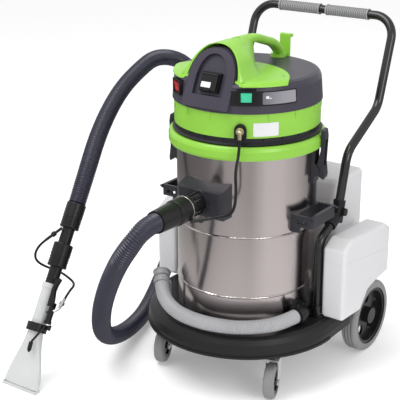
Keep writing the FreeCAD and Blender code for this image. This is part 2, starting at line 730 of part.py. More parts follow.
# ---------------------------------------------------------------- clean-water tank
def tank_form(inset):
    """The saddle shape as one rounded solid, all its faces drawn in by inset."""
    low = DOLLY_TOP
    parts = []
    for side in (-1, 1):
        outline = [
            V(0, inset, low + inset + 6), V(0, 108, low + inset),
            V(0, 150 - inset, ARCH_Z + inset), V(0, 200, ARCH_Z + 10 + inset),
            V(0, WING_BACK - inset, ARCH_Z + 16 + inset),
            V(0, WING_BACK - inset, WING_TOP - 34 - inset),
            V(0, WING_BACK - 30, WING_TOP - 14 - inset), V(0, 40, WING_TOP - inset),
            V(0, inset, WING_TOP - 24 - inset),
        ]
        start = TANK_IN + inset if side > 0 else inset - TANK_HALF
        width = TANK_HALF - TANK_IN - 2 * inset
        wing = prism([point + X_AXIS * start for point in outline], V(width, 0, 0))
        parts.append(round_edges(wing, TANK_SKIN_R - inset, lambda e: True))
    deep = 1.5 * inset
    bridge = box(
        deep - TANK_HALF + 12, TANK_HALF - 12 - deep,
        BRIDGE_FRONT + deep, WING_BACK - deep,
        ARCH_Z + 16 + deep, WING_TOP - 40 - deep,
    )
    parts.append(round_edges(bridge, TANK_SKIN_R - inset, lambda e: True))
    back = box(
        inset - BACK_HALF, BACK_HALF - inset,
        BRIDGE_FRONT + inset, TANK_BACK - inset,
        low + inset, TANK_TOP - inset,
    )
    behind = TANK_BACK - inset - 1
    back = round_edges(back, 24 - inset, lambda e: e.CenterOfMass.y > behind or is_upright(e))
    top = TANK_TOP - inset - 1
    parts.append(round_edges(back, 14 - inset, lambda e: e.CenterOfMass.z > top))
    return fuse(parts)


def clean_tank():
    neck = disc(FILLER_R, TANK_TOP - 5, TANK_TOP + 16, 0, FILLER_Y)
    outside = fuse([tank_form(0), neck]).cut(disc(DRUM_R + DRUM_CLEAR, 0, 999))
    inside = tank_form(TANK_WALL).cut(disc(DRUM_R + DRUM_CLEAR + TANK_WALL, 0, 999))
    body = outside.cut(inside)
    return body.cut(disc(FILLER_R - 5, TANK_TOP - 40, TANK_TOP + 17, 0, FILLER_Y))


def tank_cap():
    """The screw cap, over the filler neck."""
    low = TANK_TOP + GAP
    body = disc(CAP_R, low, TANK_TOP + 24, 0, FILLER_Y)
    body = round_edges(body, 3, lambda e: e.CenterOfMass.z > low + 1)
    body = body.cut(disc(FILLER_R + GAP, low - 1, TANK_TOP + 16 + GAP, 0, FILLER_Y))
    for step in range(12):
        angle = 2 * math.pi * step / 12
        x = CAP_R * math.cos(angle)
        y = FILLER_Y + CAP_R * math.sin(angle)
        body = body.cut(disc(2.5, low - 1, TANK_TOP + 25, x, y))
    return body


save("clean_tank", clean_tank())
save("tank_cap", tank_cap())


# ---------------------------------------------------------------- frame tubes and push handle


FRAME_PATH = [
    V(TUBE_X, TUBE_Y, DOLLY_TOP + 4),
    V(TUBE_X, TUBE_Y, FRAME_BEND_Z),
    V(TUBE_X, JOINT_Y, JOINT_Z),
]
HALF_HANDLE = [
    V(TUBE_X, JOINT_Y - 3, JOINT_Z - 12),
    V(TUBE_X, BEND_Y, BEND_Z),
    V(TUBE_X, ELBOW_Y, ELBOW_Z),
    V(TUBE_X, HANDLE_Y, HANDLE_Z),
]
frame_wire = bent_wire(FRAME_PATH, [42])
handle_foot = bent_wire(HALF_HANDLE[:3], [70])
frame_core = swept(frame_wire, round_section(frame_wire, TUBE_R))
handle_core = swept(handle_foot, round_section(handle_foot, TUBE_R))


def frame_tube():
    """The right lower tube, from its foot on the dolly up and back to the handle's joint."""
    tube = frame_core.cut(swept(frame_wire, round_section(frame_wire, TUBE_R - TUBE_WALL)))
    foot = disc(TUBE_R + 9, DOLLY_TOP, DOLLY_TOP + 5, TUBE_X, TUBE_Y)
    socket = annulus(TUBE_R + 4, TUBE_R, DOLLY_TOP + 5, DOLLY_TOP + 34, TUBE_X, TUBE_Y)
    return fuse([tube, foot, socket]).cut(handle_core)


def handle_tube():
    left = [V(-p.x, p.y, p.z) for p in reversed(HALF_HANDLE)]
    wire = bent_wire(HALF_HANDLE + left, [70, 62, 62, 62, 62, 70])
    inner = swept(wire, round_section(wire, TUBE_R - TUBE_WALL))
    return swept(wire, round_section(wire, TUBE_R)).cut(inner)


def handle_joint():
    """The clamp where the handle meets the lower tube, with its cross bolt."""
    low = V(TUBE_X, JOINT_Y - 4, JOINT_Z - 19)
    high = V(TUBE_X, JOINT_Y + 11, JOINT_Z + 42)
    sleeve = rod(low, high, TUBE_R + 4.5)
    frame_end = V(TUBE_X, JOINT_Y, JOINT_Z)
    back = (V(TUBE_X, TUBE_Y, FRAME_BEND_Z) - frame_end).normalize()
    arm = rod(frame_end, frame_end + back * 46, TUBE_R + 4)
    bolt = rod(V(TUBE_X - 21, JOINT_Y + 3, JOINT_Z + 12), V(TUBE_X + 21, JOINT_Y + 3, JOINT_Z + 12), 6)
    knob = rod(V(TUBE_X + 17, JOINT_Y + 3, JOINT_Z + 12), V(TUBE_X + 25, JOINT_Y + 3, JOINT_Z + 12), 11)
    return fuse([sleeve, arm, bolt, knob]).cut(handle_core).cut(frame_core)


def grip():
    """The right grip, with ribs round it."""
    body = rod(V(GRIP_IN, HANDLE_Y, HANDLE_Z), V(GRIP_OUT, HANDLE_Y, HANDLE_Z), GRIP_R - 1.2)
    ends = [
        rod(V(x, HANDLE_Y, HANDLE_Z), V(x + 4, HANDLE_Y, HANDLE_Z), GRIP_R + 1)
        for x in (GRIP_IN, GRIP_OUT - 4)
    ]
    ribs = []
    for step in range(int((GRIP_OUT - GRIP_IN - 12) // 6)):
        x = GRIP_IN + 7 + 6 * step
        ribs.append(rod(V(x, HANDLE_Y, HANDLE_Z), V(x + 3, HANDLE_Y, HANDLE_Z), GRIP_R))
    body = body.multiFuse(ends + ribs)
    return body.cut(rod(V(0, HANDLE_Y, HANDLE_Z), V(GRIP_OUT + 1, HANDLE_Y, HANDLE_Z), TUBE_R))


frame = frame_tube()
joint = handle_joint()
save("frame_tubes", [frame, mirrored(frame)])
save("handle_tube", handle_tube())
save("handle_joints", [joint, mirrored(joint)])
save("handle_grips", [grip(), mirrored(grip())])


# ---------------------------------------------------------------- motor head
def head_ring():
    """The rounded clamping ring that stands over the drum's rim."""
    outline = [
        (DRUM_R + BEAD_R + 2, RING_BOTTOM),
        (RING_R - 3, RING_BOTTOM),
        (RING_R, RING_BOTTOM + 6),
        (RING_R, RING_TOP - 12),
        (RING_R - 3, RING_TOP - 4),
        (RING_R - 8, RING_TOP),
        (SEAL_IN, RING_TOP),
        (SEAL_IN, DRUM_TOP + GAP),
        (DRUM_R + BEAD_R + 2, DRUM_TOP + GAP),
    ]
    return revolve(outline)


def head_seal():
    """The black seal between the ring and the skirt band, with its notched upper edge."""
    outline = [
        (SEAL_IN, RING_TOP),
        (BAND_R + 2, RING_TOP),
        (BAND_R + 5, RING_TOP + 5),
        (BAND_R - 1.5, RING_TOP + 9),
        (BAND_R - 1.5, BAND_BOTTOM),
        (SEAL_IN, BAND_BOTTOM),
    ]
    body = revolve(outline)
    for step in range(24):
        notch = box(BAND_R - 4, BAND_R + 9, -2, 2, BAND_BOTTOM - 7, BAND_BOTTOM + 1)
        body = body.cut(spin(notch, 15 * step))
    return body


def skirt_band():
    """The green band, with short ribs below the motor cover's edge."""
    outline = [
        (BAND_R - HEAD_WALL, BAND_BOTTOM), (BAND_R, BAND_BOTTOM),
        (BAND_R, COVER_BOTTOM - GAP), (BAND_R - HEAD_WALL, COVER_BOTTOM - GAP),
    ]
    ribs = []
    for step in range(BAND_RIBS):
        rib = box(BAND_R - 1, BAND_R + 1.6, -1.5, 1.5, COVER_BOTTOM - 22, COVER_BOTTOM - GAP)
        ribs.append(spin(rib, 360 / BAND_RIBS * step + 4))
    ledge = annulus(BAND_R, BAND_R - 20, BAND_BOTTOM, MOTOR_PLATE_Z)
    hole_start = on_drum(COUPLING_ANGLE, BAND_R - 30, COUPLING_Z)
    hole_end = on_drum(COUPLING_ANGLE, BAND_R + 9, COUPLING_Z)
    return fuse([revolve(outline), ledge] + ribs).cut(rod(hole_start, hole_end, COUPLING_BORE))


def cover_body(inset):
    """The dark cover as a closed shape, drawn in by inset: a low drum with a round shoulder."""
    low = COVER_BOTTOM - max(inset, 0)
    outline = [
        (0, low),
        (COVER_R - inset, low),
        (COVER_TOP_R - inset, COVER_SHOULDER),
        (COVER_TOP_R - 3 - inset, COVER_TOP - 9 - inset),
        (COVER_TOP_R - 8 - inset, COVER_TOP - 3 - inset),
        (COVER_TOP_R - 17 - inset, COVER_TOP - inset),
        (0, COVER_TOP + 3 - inset),
    ]
    return revolve(outline)


def arch_wire(half, top, y):
    """An arch in an upright plane: straight sides with a rounded crown."""
    low = COVER_BOTTOM + 9
    spring = COVER_TOP - 4
    rise = top - spring
    sides = [V(half, y, spring), V(half, y, low), V(-half, y, low), V(-half, y, spring)]
    crown = Part.BSplineCurve()
    poles = [
        V(-half, y, spring), V(-half * 0.98, y, spring + 0.62 * rise), V(-half * 0.62, y, top),
        V(0, y, top),
        V(half * 0.62, y, top), V(half * 0.98, y, spring + 0.62 * rise), V(half, y, spring),
    ]
    crown.buildFromPolesMultsKnots(poles, [4, 3, 4], [0, 0.5, 1], False, 3)
    return Part.Wire([crown.toShape()] + Part.makePolygon(sides).Edges)


FACE_LEAN = V(0, FACE_HIGH_Y - FACE_LOW_Y, NOSE_TOP - COVER_BOTTOM).normalize()
FACE_LOW = V(0, FACE_LOW_Y, COVER_BOTTOM)


def before_face(half, back):
    """What lies in front of the leaning face, moved back by back, between -half and half."""
    low = FACE_LOW - FACE_LEAN * 60 + V(-half, back, 0)
    high = FACE_LOW + FACE_LEAN * 260 + V(-half, back, 0)
    return prism([low, high, high - Y_AXIS * 200, low - Y_AXIS * 200], V(2 * half, 0, 0))


def arch_block(half, top, back):
    return Part.Face(arch_wire(half, top, -260)).extrude(V(0, 260 + back, 0))


def on_face(x, up, out):
    """A point at x, up along the leaning face from the cover's edge, and out from it."""
    normal = V(0, -FACE_LEAN.z, FACE_LEAN.y)
    return FACE_LOW + FACE_LEAN * up + normal * out + X_AXIS * x


def face_block(half, up0, up1, in_, out):
    """A block square to the leaning face."""
    corners = [
        on_face(-half, up0, -in_), on_face(half, up0, -in_),
        on_face(half, up1, -in_), on_face(-half, up1, -in_),
    ]
    return prism(corners, on_face(0, 0, out) - on_face(0, 0, -in_))


def switch_block(angle, half, rise, deep, out):
    """A block on the cover's side, at an angle from the front."""
    block = box(-half, half, -COVER_R - out, -COVER_R + deep, SWITCH_Z - rise, SWITCH_Z + rise)
    return spin(block, angle)


def motor_cover():
    outer = fuse([cover_body(0), arch_block(NOSE_HALF, NOSE_TOP, NOSE_BACK)])
    outer = outer.cut(before_face(NOSE_HALF, 0))
    inner_arch = arch_block(NOSE_HALF - HEAD_WALL, NOSE_TOP - HEAD_WALL, NOSE_BACK - HEAD_WALL)
    inner = fuse([cover_body(HEAD_WALL), inner_arch])
    inner = inner.cut(before_face(NOSE_HALF + 40, POCKET_DEEP + HEAD_WALL))
    inner = inner.cut(box(-300, 300, -300, 300, 0, COVER_BOTTOM - 1))
    body = outer.cut(inner)
    pocket = arch_block(POCKET_HALF, NOSE_TOP - 14, 0).common(before_face(90, POCKET_DEEP))
    body = body.cut(pocket.cut(box(-90, 90, -300, 100, 0, POCKET_LOW)))
    low = (SOCKET_LOW - COVER_BOTTOM) / FACE_LEAN.z
    high = (SOCKET_HIGH - COVER_BOTTOM) / FACE_LEAN.z
    body = body.cut(face_block(SOCKET_HALF, low, high, 60, 30))
    for side in (-1, 1):
        body = body.cut(switch_block(side * SWITCH_ANGLE, SWITCH_HALF, SWITCH_RISE, 30, 20))
        vent = [
            switch_block(side * (128 + 4 * step), 2, 14, 20, 20)
            for step in range(9)
        ]
        body = body.cut(fuse(vent))
    return body.cut(rod(V(0, BAND_R - 20, GLAND_Z), V(0, COVER_R + 9, GLAND_Z), GLAND_R))


def socket_box():
    """The black appliance socket in the front housing."""
    low = (SOCKET_LOW - COVER_BOTTOM) / FACE_LEAN.z + GAP
    high = (SOCKET_HIGH - COVER_BOTTOM) / FACE_LEAN.z - GAP
    half = SOCKET_HALF - GAP
    body = face_block(half, low, high, 45, -POCKET_DEEP + 12)
    well = face_block(half - 4, low + 4, high - 12, 40, 20)
    pins = []
    for x in (-8.0, 8.0):
        start = on_face(x, (low + high) / 2 - 4, -41)
        pins.append(rod(start, start + (on_face(0, 0, 1) - on_face(0, 0, 0)) * 18, 2.4))
    return fuse([body.cut(well)] + pins)


def socket_flap():
    """The sprung flap over the socket. Its hinge pin is at its upper edge."""
    low = (SOCKET_LOW - COVER_BOTTOM) / FACE_LEAN.z + 3
    high = (SOCKET_HIGH - COVER_BOTTOM) / FACE_LEAN.z - 8
    out = 12 - POCKET_DEEP + FLAP_OUT
    lid = face_block(SOCKET_HALF - 4, low, high, -out + GAP, out + FLAP_T - GAP)
    pull = face_block(9, low - 2, low + 2, -out, out + FLAP_T + 2)
    pin = rod(on_face(-SOCKET_HALF + 4, high, out + 1), on_face(SOCKET_HALF - 4, high, out + 1), 3)
    return fuse([lid, pull, pin])


def switch_bezel(side):
    body = switch_block(side * SWITCH_ANGLE, SWITCH_HALF - GAP, SWITCH_RISE - GAP, 24, 4)
    window = switch_block(side * SWITCH_ANGLE, 15 if side > 0 else 17, ROCKER_RISE + 3, 30, 20)
    return body.cut(window).cut(cover_body(HEAD_WALL + 16))


def rocker(angle, middle, half, rise):
    """A rocker on a pivot that lies across its middle; its upper half stands out at rest."""
    outline = [
        V(middle - half, ROCKER_PIVOT + 9, SWITCH_Z - rise + 1),
        V(middle - half, ROCKER_PIVOT - 4, SWITCH_Z - rise - 1),
        V(middle - half, ROCKER_PIVOT - 5, SWITCH_Z),
        V(middle - half, ROCKER_PIVOT - 8.5, SWITCH_Z + rise),
        V(middle - half, ROCKER_PIVOT + 9, SWITCH_Z + rise - 1),
    ]
    return spin(prism(outline, V(2 * half, 0, 0)), angle)


save("head_ring", head_ring())
save("head_seal", head_seal())
save("skirt_band", skirt_band())
save("motor_cover", motor_cover())
save("socket_box", socket_box())
save("socket_flap", socket_flap())
save("switch_bezels", [switch_bezel(-1), switch_bezel(1)])
save("green_rocker", rocker(SWITCH_ANGLE, 0, 14, ROCKER_RISE))
save("red_rocker_front", rocker(-SWITCH_ANGLE, 8.2, 7.6, ROCKER_RISE))
save("red_rocker_rear", rocker(-SWITCH_ANGLE, -8.2, 7.6, ROCKER_RISE))


def top_cover():
    """The green cover: a plate over the front of the top, a hood over the nose, and the handle."""
    seat = cover_body(-GAP)
    plate = cover_body(-PLATE).cut(box(-300, 300, -300, 300, 0, COVER_TOP - 7))
    plate = plate.common(disc(PLATE_BACK_R, 0, 999, 0, PLATE_BACK_Y))
    front = arch_wire(HOOD_HALF, HOOD_TOP - 4, -188)
    middle = arch_wire(HOOD_HALF * 0.72, HOOD_TOP, -90)
    back = arch_wire(HOOD_END_HALF, HOOD_TOP, HOOD_END)
    hood = Part.makeLoft([front, middle, back], True, False)
    front_in = arch_wire(HOOD_HALF - 5, HOOD_TOP - 9, -189)
    middle_in = arch_wire(HOOD_HALF * 0.72 - 5, HOOD_TOP - 6, -90)
    back_in = arch_wire(HOOD_END_HALF + 2, HOOD_TOP - 22, HOOD_END - 34)
    hollow = Part.makeLoft([front_in, middle_in, back_in], True, False)
    nose = arch_block(NOSE_HALF + GAP, NOSE_TOP + GAP, NOSE_BACK + GAP)
    carry_path = [
        V(0, HOOD_END - 30, HOOD_TOP - CARRY_T / 2 - 3), V(0, 30, HOOD_TOP - CARRY_T / 2 - 2),
        V(0, 92, HOOD_TOP - CARRY_T / 2 - 22), V(0, CARRY_END - 32, COVER_TOP + 42),
        V(0, CARRY_END, COVER_TOP - 6),
    ]
    wire = bent_wire(carry_path, [140, 110, 110])
    section = oval(carry_path[0], X_AXIS, Z_AXIS, CARRY_W / 2, CARRY_T / 2, 2.6)
    carry = swept(wire, section)
    foot = disc(22, COVER_TOP, COVER_TOP + 10, 0, CARRY_END - 16)
    body = fuse([plate, hood.cut(hollow), carry, foot])
    body = body.cut(nose).cut(seat)
    body = body.cut(before_face(300, 6).common(box(-300, 300, -400, 0, COVER_TOP - 7, 1200)))
    body = body.cut(box(-300, 300, -300, 300, 0, COVER_TOP - 7))
    scoop = Part.makeSphere(17, V(-4, -62, HOOD_TOP + 4))
    screws = [disc(4.5, COVER_TOP + 1, 1000, side * SCREW_X, SCREW_Y) for side in (-1, 1)]
    return body.cut(fuse(screws)).cut(scoop)


def cable_hook():
    """The upright post behind the handle, for winding the cable."""
    post = box(-15, 15, HOOK_Y, HOOK_Y + 9, COVER_TOP - 30, COVER_TOP + 62)
    post = round_edges(post, 4, lambda e: e.CenterOfMass.z > COVER_TOP + 61)
    lip = box(-15, 15, HOOK_Y, HOOK_Y + 23, COVER_TOP + 50, COVER_TOP + 58)
    return fuse([post, lip]).cut(cover_body(-0.1))


save("top_cover", top_cover())
save("cable_hook", cable_hook())
screws = []
for side in (-1, 1):
    x = side * SCREW_X
    head = disc(3.8, COVER_TOP + 2.6, COVER_TOP + 4.8, x, SCREW_Y)
    slot = box(x - 5, x + 5, SCREW_Y - 0.6, SCREW_Y + 0.6, COVER_TOP + 4, COVER_TOP + 9)
    screws.append(head.cut(slot))
save("cover_screws", screws)


# ---------------------------------------------------------------- coupling and cable gland on the head


def coupling_boss():
    """The dark boss on the band that the quick coupling screws into."""
    start = on_drum(COUPLING_ANGLE, BAND_R - 12, COUPLING_Z)
    end = on_drum(COUPLING_ANGLE, BAND_R + 9, COUPLING_Z)
    round_part = rod(start, end, 16)
    low = box(-16, 16, -BAND_R - 9, -BAND_R + 12, BAND_BOTTOM + 1, COUPLING_Z)
    body = fuse([round_part, spin(low, COUPLING_ANGLE)])
    return body.cut(disc(BAND_R + 0.1, 0, 999)).cut(rod(start, end + (end - start), COUPLING_BORE))


def quick_coupling():
    """A brass coupling with a knurled sleeve; the hose leaves it pointing down."""
    start = on_drum(COUPLING_ANGLE, BAND_R - 14, COUPLING_Z)
    face = on_drum(COUPLING_ANGLE, BAND_R + 9, COUPLING_Z)
    end = on_drum(COUPLING_ANGLE, BAND_R + 24, COUPLING_Z)
    out = (end - start).normalize()
    bend = face + out * 20
    sleeve = rod(face + out * 1, face + out * 12, 10.5)
    spigot = rod(start, end, COUPLING_BORE - 0.1)
    drop = rod(bend, bend - Z_AXIS * 18, 6)
    ball = Part.makeSphere(COUPLING_BORE - 0.1, bend)
    cut = rod(start - out, face, 3)
    return fuse([sleeve, spigot, drop, ball]).cut(cut), bend - Z_AXIS * 18


def power_gland():
    """The cable's strain relief at the back of the head. The cable itself is not made."""
    inner = V(0, BAND_R - 12, GLAND_Z)
    body = fuse([
        rod(inner, V(0, COVER_R + 6, GLAND_Z), 14),
        rod(V(0, COVER_R + 6, GLAND_Z), V(0, COVER_R + 15, GLAND_Z), 11),
        rod(V(0, COVER_R + 14, GLAND_Z), V(0, COVER_R + 32, GLAND_Z), 8),
    ])
    for y in (19, 24, 29):
        body = body.cut(pipe(V(0, COVER_R + y, GLAND_Z), V(0, COVER_R + y + 2, GLAND_Z), 9, 6.5))
    body = body.cut(rod(inner - Y_AXIS, V(0, COVER_R + 33, GLAND_Z), 4))
    return body.cut(cover_body(-0.1).cut(rod(inner, V(0, COVER_R + 6, GLAND_Z), GLAND_R)))


coupling, solution_start = quick_coupling()
save("coupling_boss", coupling_boss())
save("quick_coupling", coupling)
save("power_gland", power_gland())


# ---------------------------------------------------------------- inside the head


def motor_plate():
    body = disc(BAND_R - HEAD_WALL - GAP, MOTOR_PLATE_Z, MOTOR_PLATE_Z + MOTOR_PLATE_T)
    for side in (-1, 1):
        body = body.cut(disc(26, BAND_BOTTOM, COVER_BOTTOM, side * MOTOR_X, 10))
    for step in range(6):
        angle = math.radians(60 * step + 30)
        x = (BAND_R - 13) * math.cos(angle)
        y = (BAND_R - 13) * math.sin(angle)
        body = body.cut(disc(2.6, BAND_BOTTOM, COVER_BOTTOM, x, y))
    return body


def vacuum_motor(side):
    """A two-stage bypass motor: fan case below, motor frame and shaft above."""
    x = side * MOTOR_X
    low = MOTOR_PLATE_Z + MOTOR_PLATE_T
    fan = round_edges(disc(MOTOR_R + 8, low, low + 44, x, 10), 5, lambda e: True)
    frame = disc(MOTOR_R - 18, low + 43, low + 112, x, 10)
    yoke = box(x - 16, x + 16, 10 - 52, 10 + 52, low + 48, low + 86)
    shaft = disc(6, low + 111, low + 124, x, 10)
    eye = disc(22, low - 1, low + 12, x, 10)
    return fuse([fan, frame, yoke, shaft]).cut(eye)


def solution_pump():
    low = MOTOR_PLATE_Z + MOTOR_PLATE_T
    body = box(-26, 26, -150, -84, low, low + 44)
    motor = rod(V(0, -84, low + 22), V(0, -62, low + 22), 20)
    outlet = rod(V(26, -118, low + 22), V(46, -118, low + 22), 6)
    return fuse([body, motor, outlet])


def float_cage():
    """The slotted cage under the motor plate that holds the shut-off ball."""
    top = MOTOR_PLATE_Z
    body = annulus(CAGE_R, CAGE_R - 3, CAGE_LOW, top)
    floor = disc(CAGE_R, CAGE_LOW, CAGE_LOW + 3)
    flange = annulus(CAGE_R + 14, CAGE_R - 3, top - 5, top)
    slots = []
    for step in range(6):
        slot = box(CAGE_R - 8, CAGE_R + 8, -9, 9, CAGE_LOW + 14, CAGE_LOW + 128)
        slots.append(spin(slot, 60 * step))
    return fuse([body, floor, flange]).cut(fuse(slots))


def dust_filter():
    """A pleated ring filter round the cage, below the motor plate."""
    top = MOTOR_PLATE_Z
    low = top - FILTER_H
    body = annulus(FILTER_R, FILTER_R - 16, low, top)
    for step in range(36):
        body = body.cut(spin(disc(3, low + 6, top - 6, FILTER_R, 0), 10 * step))
    return body


save("motor_plate", motor_plate())
save("vacuum_motors", [vacuum_motor(-1), vacuum_motor(1)])
save("solution_pump", solution_pump())
save("float_cage", float_cage())
save("float_ball", Part.makeSphere(BALL_R, V(0, 0, CAGE_LOW + 3.4 + BALL_R)))
save("dust_filter", dust_filter())


# ---------------------------------------------------------------- spray wand
WAND_AXIS = (WAND_TOP - NECK).normalize()
WAND_RIGHT = (X_AXIS - WAND_AXIS * X_AXIS.dot(WAND_AXIS)).normalize()
WAND_FRONT = WAND_RIGHT.cross(WAND_AXIS)
WAND_LENGTH = (WAND_TOP - NECK).Length


def wand(up, right=0.0, front=0.0):
    """A point up along the wand from its neck, out to its right and to its front."""
    return NECK + WAND_AXIS * up + WAND_RIGHT * right + WAND_FRONT * front


CUFF_LOW = WAND_LENGTH - 76


def wand_cuff(low, high):
    """A cuff over the wand's tube, ribbed at its lower end."""
    body = rod(wand(low), wand(high), WAND_CUFF_R)
    body = round_edges(body, 3, lambda e: True)
    for step in range(4):
        at = low + 8 + 7 * step
        body = body.cut(pipe(wand(at), wand(at + 3), WAND_CUFF_R + 1, WAND_CUFF_R - 1.6))
    return body.cut(rod(wand(low - 1), wand(high + 1), WAND_R))


def wand_tube():
    """Two black tubes, the upper one between the cuffs, the lower one into the clear tube."""
    return pipe(wand(CLEAR_TOP - 20), wand(WAND_LENGTH - 8), WAND_R, WAND_R - 2)


def clear_tube():
    tube = pipe(wand(7), wand(CLEAR_TOP), CLEAR_R, WAND_R)
    ring = pipe(wand(CLEAR_TOP - 12), wand(CLEAR_TOP + 2), CLEAR_R + 2.5, WAND_R)
    return fuse([tube, ring])


def nozzle():
    """The clear flared nozzle. Its flat mouth stands on the floor."""
    down = (NOZZLE_MOUTH - NECK).normalize()
    side = X_AXIS
    thin = V(0, down.z, -down.y).normalize() * -1

    def flare(spare):
        sections = [
            oval(NECK + WAND_AXIS * 6, WAND_RIGHT, WAND_FRONT, CLEAR_R + 1 - spare, CLEAR_R + 1 - spare),
            oval(NECK + down * 22, side, thin, 25 - spare, CLEAR_R - 1 - spare, 2.2),
            oval(NECK + down * 92, side, thin, 46 - spare, 14 - spare, 2.8),
            oval(NOZZLE_MOUTH, X_AXIS, Y_AXIS, NOZZLE_HALF - spare, 9.5 - spare, 5),
        ]
        return Part.makeLoft(sections, True, False)

    lip = box(NOZZLE_MOUTH.x - NOZZLE_HALF - 1, NOZZLE_MOUTH.x + NOZZLE_HALF + 1,
              NOZZLE_MOUTH.y - 11, NOZZLE_MOUTH.y + 11, 0, 7)
    lip = round_edges(lip, 4, is_upright)
    body = flare(0).fuse(lip)
    body = body.cut(box(-600, 0, -700, 0, -50, 0))
    inner = box(NOZZLE_MOUTH.x - NOZZLE_HALF + 3, NOZZLE_MOUTH.x + NOZZLE_HALF - 3,
                NOZZLE_MOUTH.y - 6, NOZZLE_MOUTH.y + 6, -1, 9)
    return body.cut(flare(2.4)).cut(inner)


def clamp_collar():
    """The collar that joins the nozzle to the clear tube and carries the spray jet's bracket."""
    low = wand(-10)
    high = wand(14)
    body = pipe(low, high, CLEAR_R + 9, CLEAR_R + 1.4)
    ear = [
        wand(2, CLEAR_R + 6, 10), wand(2, CLEAR_R + 34, 12),
        wand(17.5, CLEAR_R + 34, 12), wand(12, CLEAR_R + 6, 10),
    ]
    arm = prism(ear, WAND_FRONT * -5)
    bolt = rod(wand(2, -CLEAR_R - 14, 0), wand(2, -CLEAR_R - 5, 0), 5)
    return fuse([body, arm, bolt])


def trigger_valve():
    """The spray valve on the collar's bracket, with the ears of the trigger's pin."""
    low = wand(18, VALVE_RIGHT, VALVE_FRONT)
    body = rod(low, wand(66, VALVE_RIGHT, VALVE_FRONT), 9)
    cap = rod(low, wand(28, VALVE_RIGHT, VALVE_FRONT), 11)
    stem = rod(wand(50, VALVE_RIGHT, VALVE_FRONT), wand(50, VALVE_RIGHT - 13, VALVE_FRONT), 4)
    block = [
        wand(60, VALVE_RIGHT - 9, VALVE_FRONT - 6), wand(60, VALVE_RIGHT + 7, VALVE_FRONT - 6),
        wand(80, VALVE_RIGHT + 7, VALVE_FRONT - 6), wand(80, VALVE_RIGHT - 9, VALVE_FRONT - 6),
    ]
    ears = prism(block, WAND_FRONT * 3)
    pin_start = wand(TRIGGER_PIVOT, VALVE_RIGHT - 2, VALVE_FRONT - 6)
    pin = rod(pin_start, pin_start + WAND_FRONT * 21, TRIGGER_PIN_R)
    return fuse([body, cap, stem, ears, pin])


def trigger_lever():
    """The lever, on the pin, its broad end beside the clear tube."""
    thick = 9.0
    low = VALVE_FRONT + 4
    outline = [
        wand(TRIGGER_PIVOT - 5, VALVE_RIGHT - 10, low), wand(TRIGGER_PIVOT - 5, VALVE_RIGHT + 5, low),
        wand(TRIGGER_PIVOT + 12, VALVE_RIGHT + 7, low), wand(118, VALVE_RIGHT - 1, low),
        wand(146, VALVE_RIGHT + 8, low), wand(150, VALVE_RIGHT + 2, low),
        wand(140, VALVE_RIGHT - 10, low), wand(112, VALVE_RIGHT - 12, low),
    ]
    body = prism(outline, WAND_FRONT * thick)
    eye_start = wand(TRIGGER_PIVOT, VALVE_RIGHT - 2, low - 2)
    return body.cut(rod(eye_start, eye_start + WAND_FRONT * (thick + 4), TRIGGER_PIN_R + RUN_FIT))


def spray_jet():
    """The jet in front of the nozzle, on its own small bracket and feed pipe."""
    down = (NOZZLE_MOUTH - NECK).normalize()
    jet_top = NECK + down * 20 + V(20, -36, 0)
    jet_low = jet_top + down * 22
    feed_start = wand(18, VALVE_RIGHT, VALVE_FRONT)
    body = rod(jet_top, jet_low, 6)
    tip = Part.makeCone(6, 2.5, 7, jet_low, down)
    feed = rod(jet_top, jet_top + (feed_start - jet_top) * 0.96, 3.2)
    return fuse([body, tip, feed])


save("wand_cuffs", [wand_cuff(CUFF_LOW, WAND_LENGTH - 0.5), wand_cuff(*LOWER_CUFF)])
save("wand_tube", wand_tube())
save("clear_tube", clear_tube())
save("nozzle", nozzle())
save("clamp_collar", clamp_collar().cut(nozzle()))
save("trigger_valve", trigger_valve())
save("trigger_lever", trigger_lever())
save("spray_jet", spray_jet().cut(clamp_collar()).cut(nozzle()).cut(trigger_valve()))


# ---------------------------------------------------------------- rigid hose fittings
def stepped_fitting(start, end, radius):
    """A straight pipe end with a hexagon nut in its middle."""
    along = (end - start).normalize()
    middle = (start + end) * 0.5
    body = rod(start, end, radius)
    nut = rod(middle - along * 5, middle + along * 5, radius + 3.2)
    return fuse([body, nut])


def beyond(fitting, reach):
    """A point straight out from a fitting's free end."""
    return fitting[1] + (fitting[1] - fitting[0]).normalize() * reach


CUFF_FITTING = [V(26, CUFF_START - 12, INLET_Z - 27), V(68, CUFF_START + 26, INLET_Z - 20)]
ROD_FITTING = [wand(LOWER_CUFF[1] + 40, -6, WAND_R + 6), wand(LOWER_CUFF[1] - 3, -46, WAND_R + 8)]
VALVE_FITTING = [wand(68, VALVE_RIGHT + 16, 2), wand(100, VALVE_RIGHT + 22, -2)]
fittings = [
    stepped_fitting(CUFF_FITTING[0], CUFF_FITTING[1], 5.0).cut(hose_cuff()),
    stepped_fitting(ROD_FITTING[0], ROD_FITTING[1], 4.2).cut(wand_cuff(CUFF_LOW, WAND_LENGTH)),
    stepped_fitting(VALVE_FITTING[0], VALVE_FITTING[1], 4.2),
]
elbow_pipe = rod(wand(56, VALVE_RIGHT + 8, VALVE_FRONT), VALVE_FITTING[0], 4.2).cut(trigger_valve())
fittings[2] = fuse([fittings[2], elbow_pipe])
save("hose_fittings", fittings)


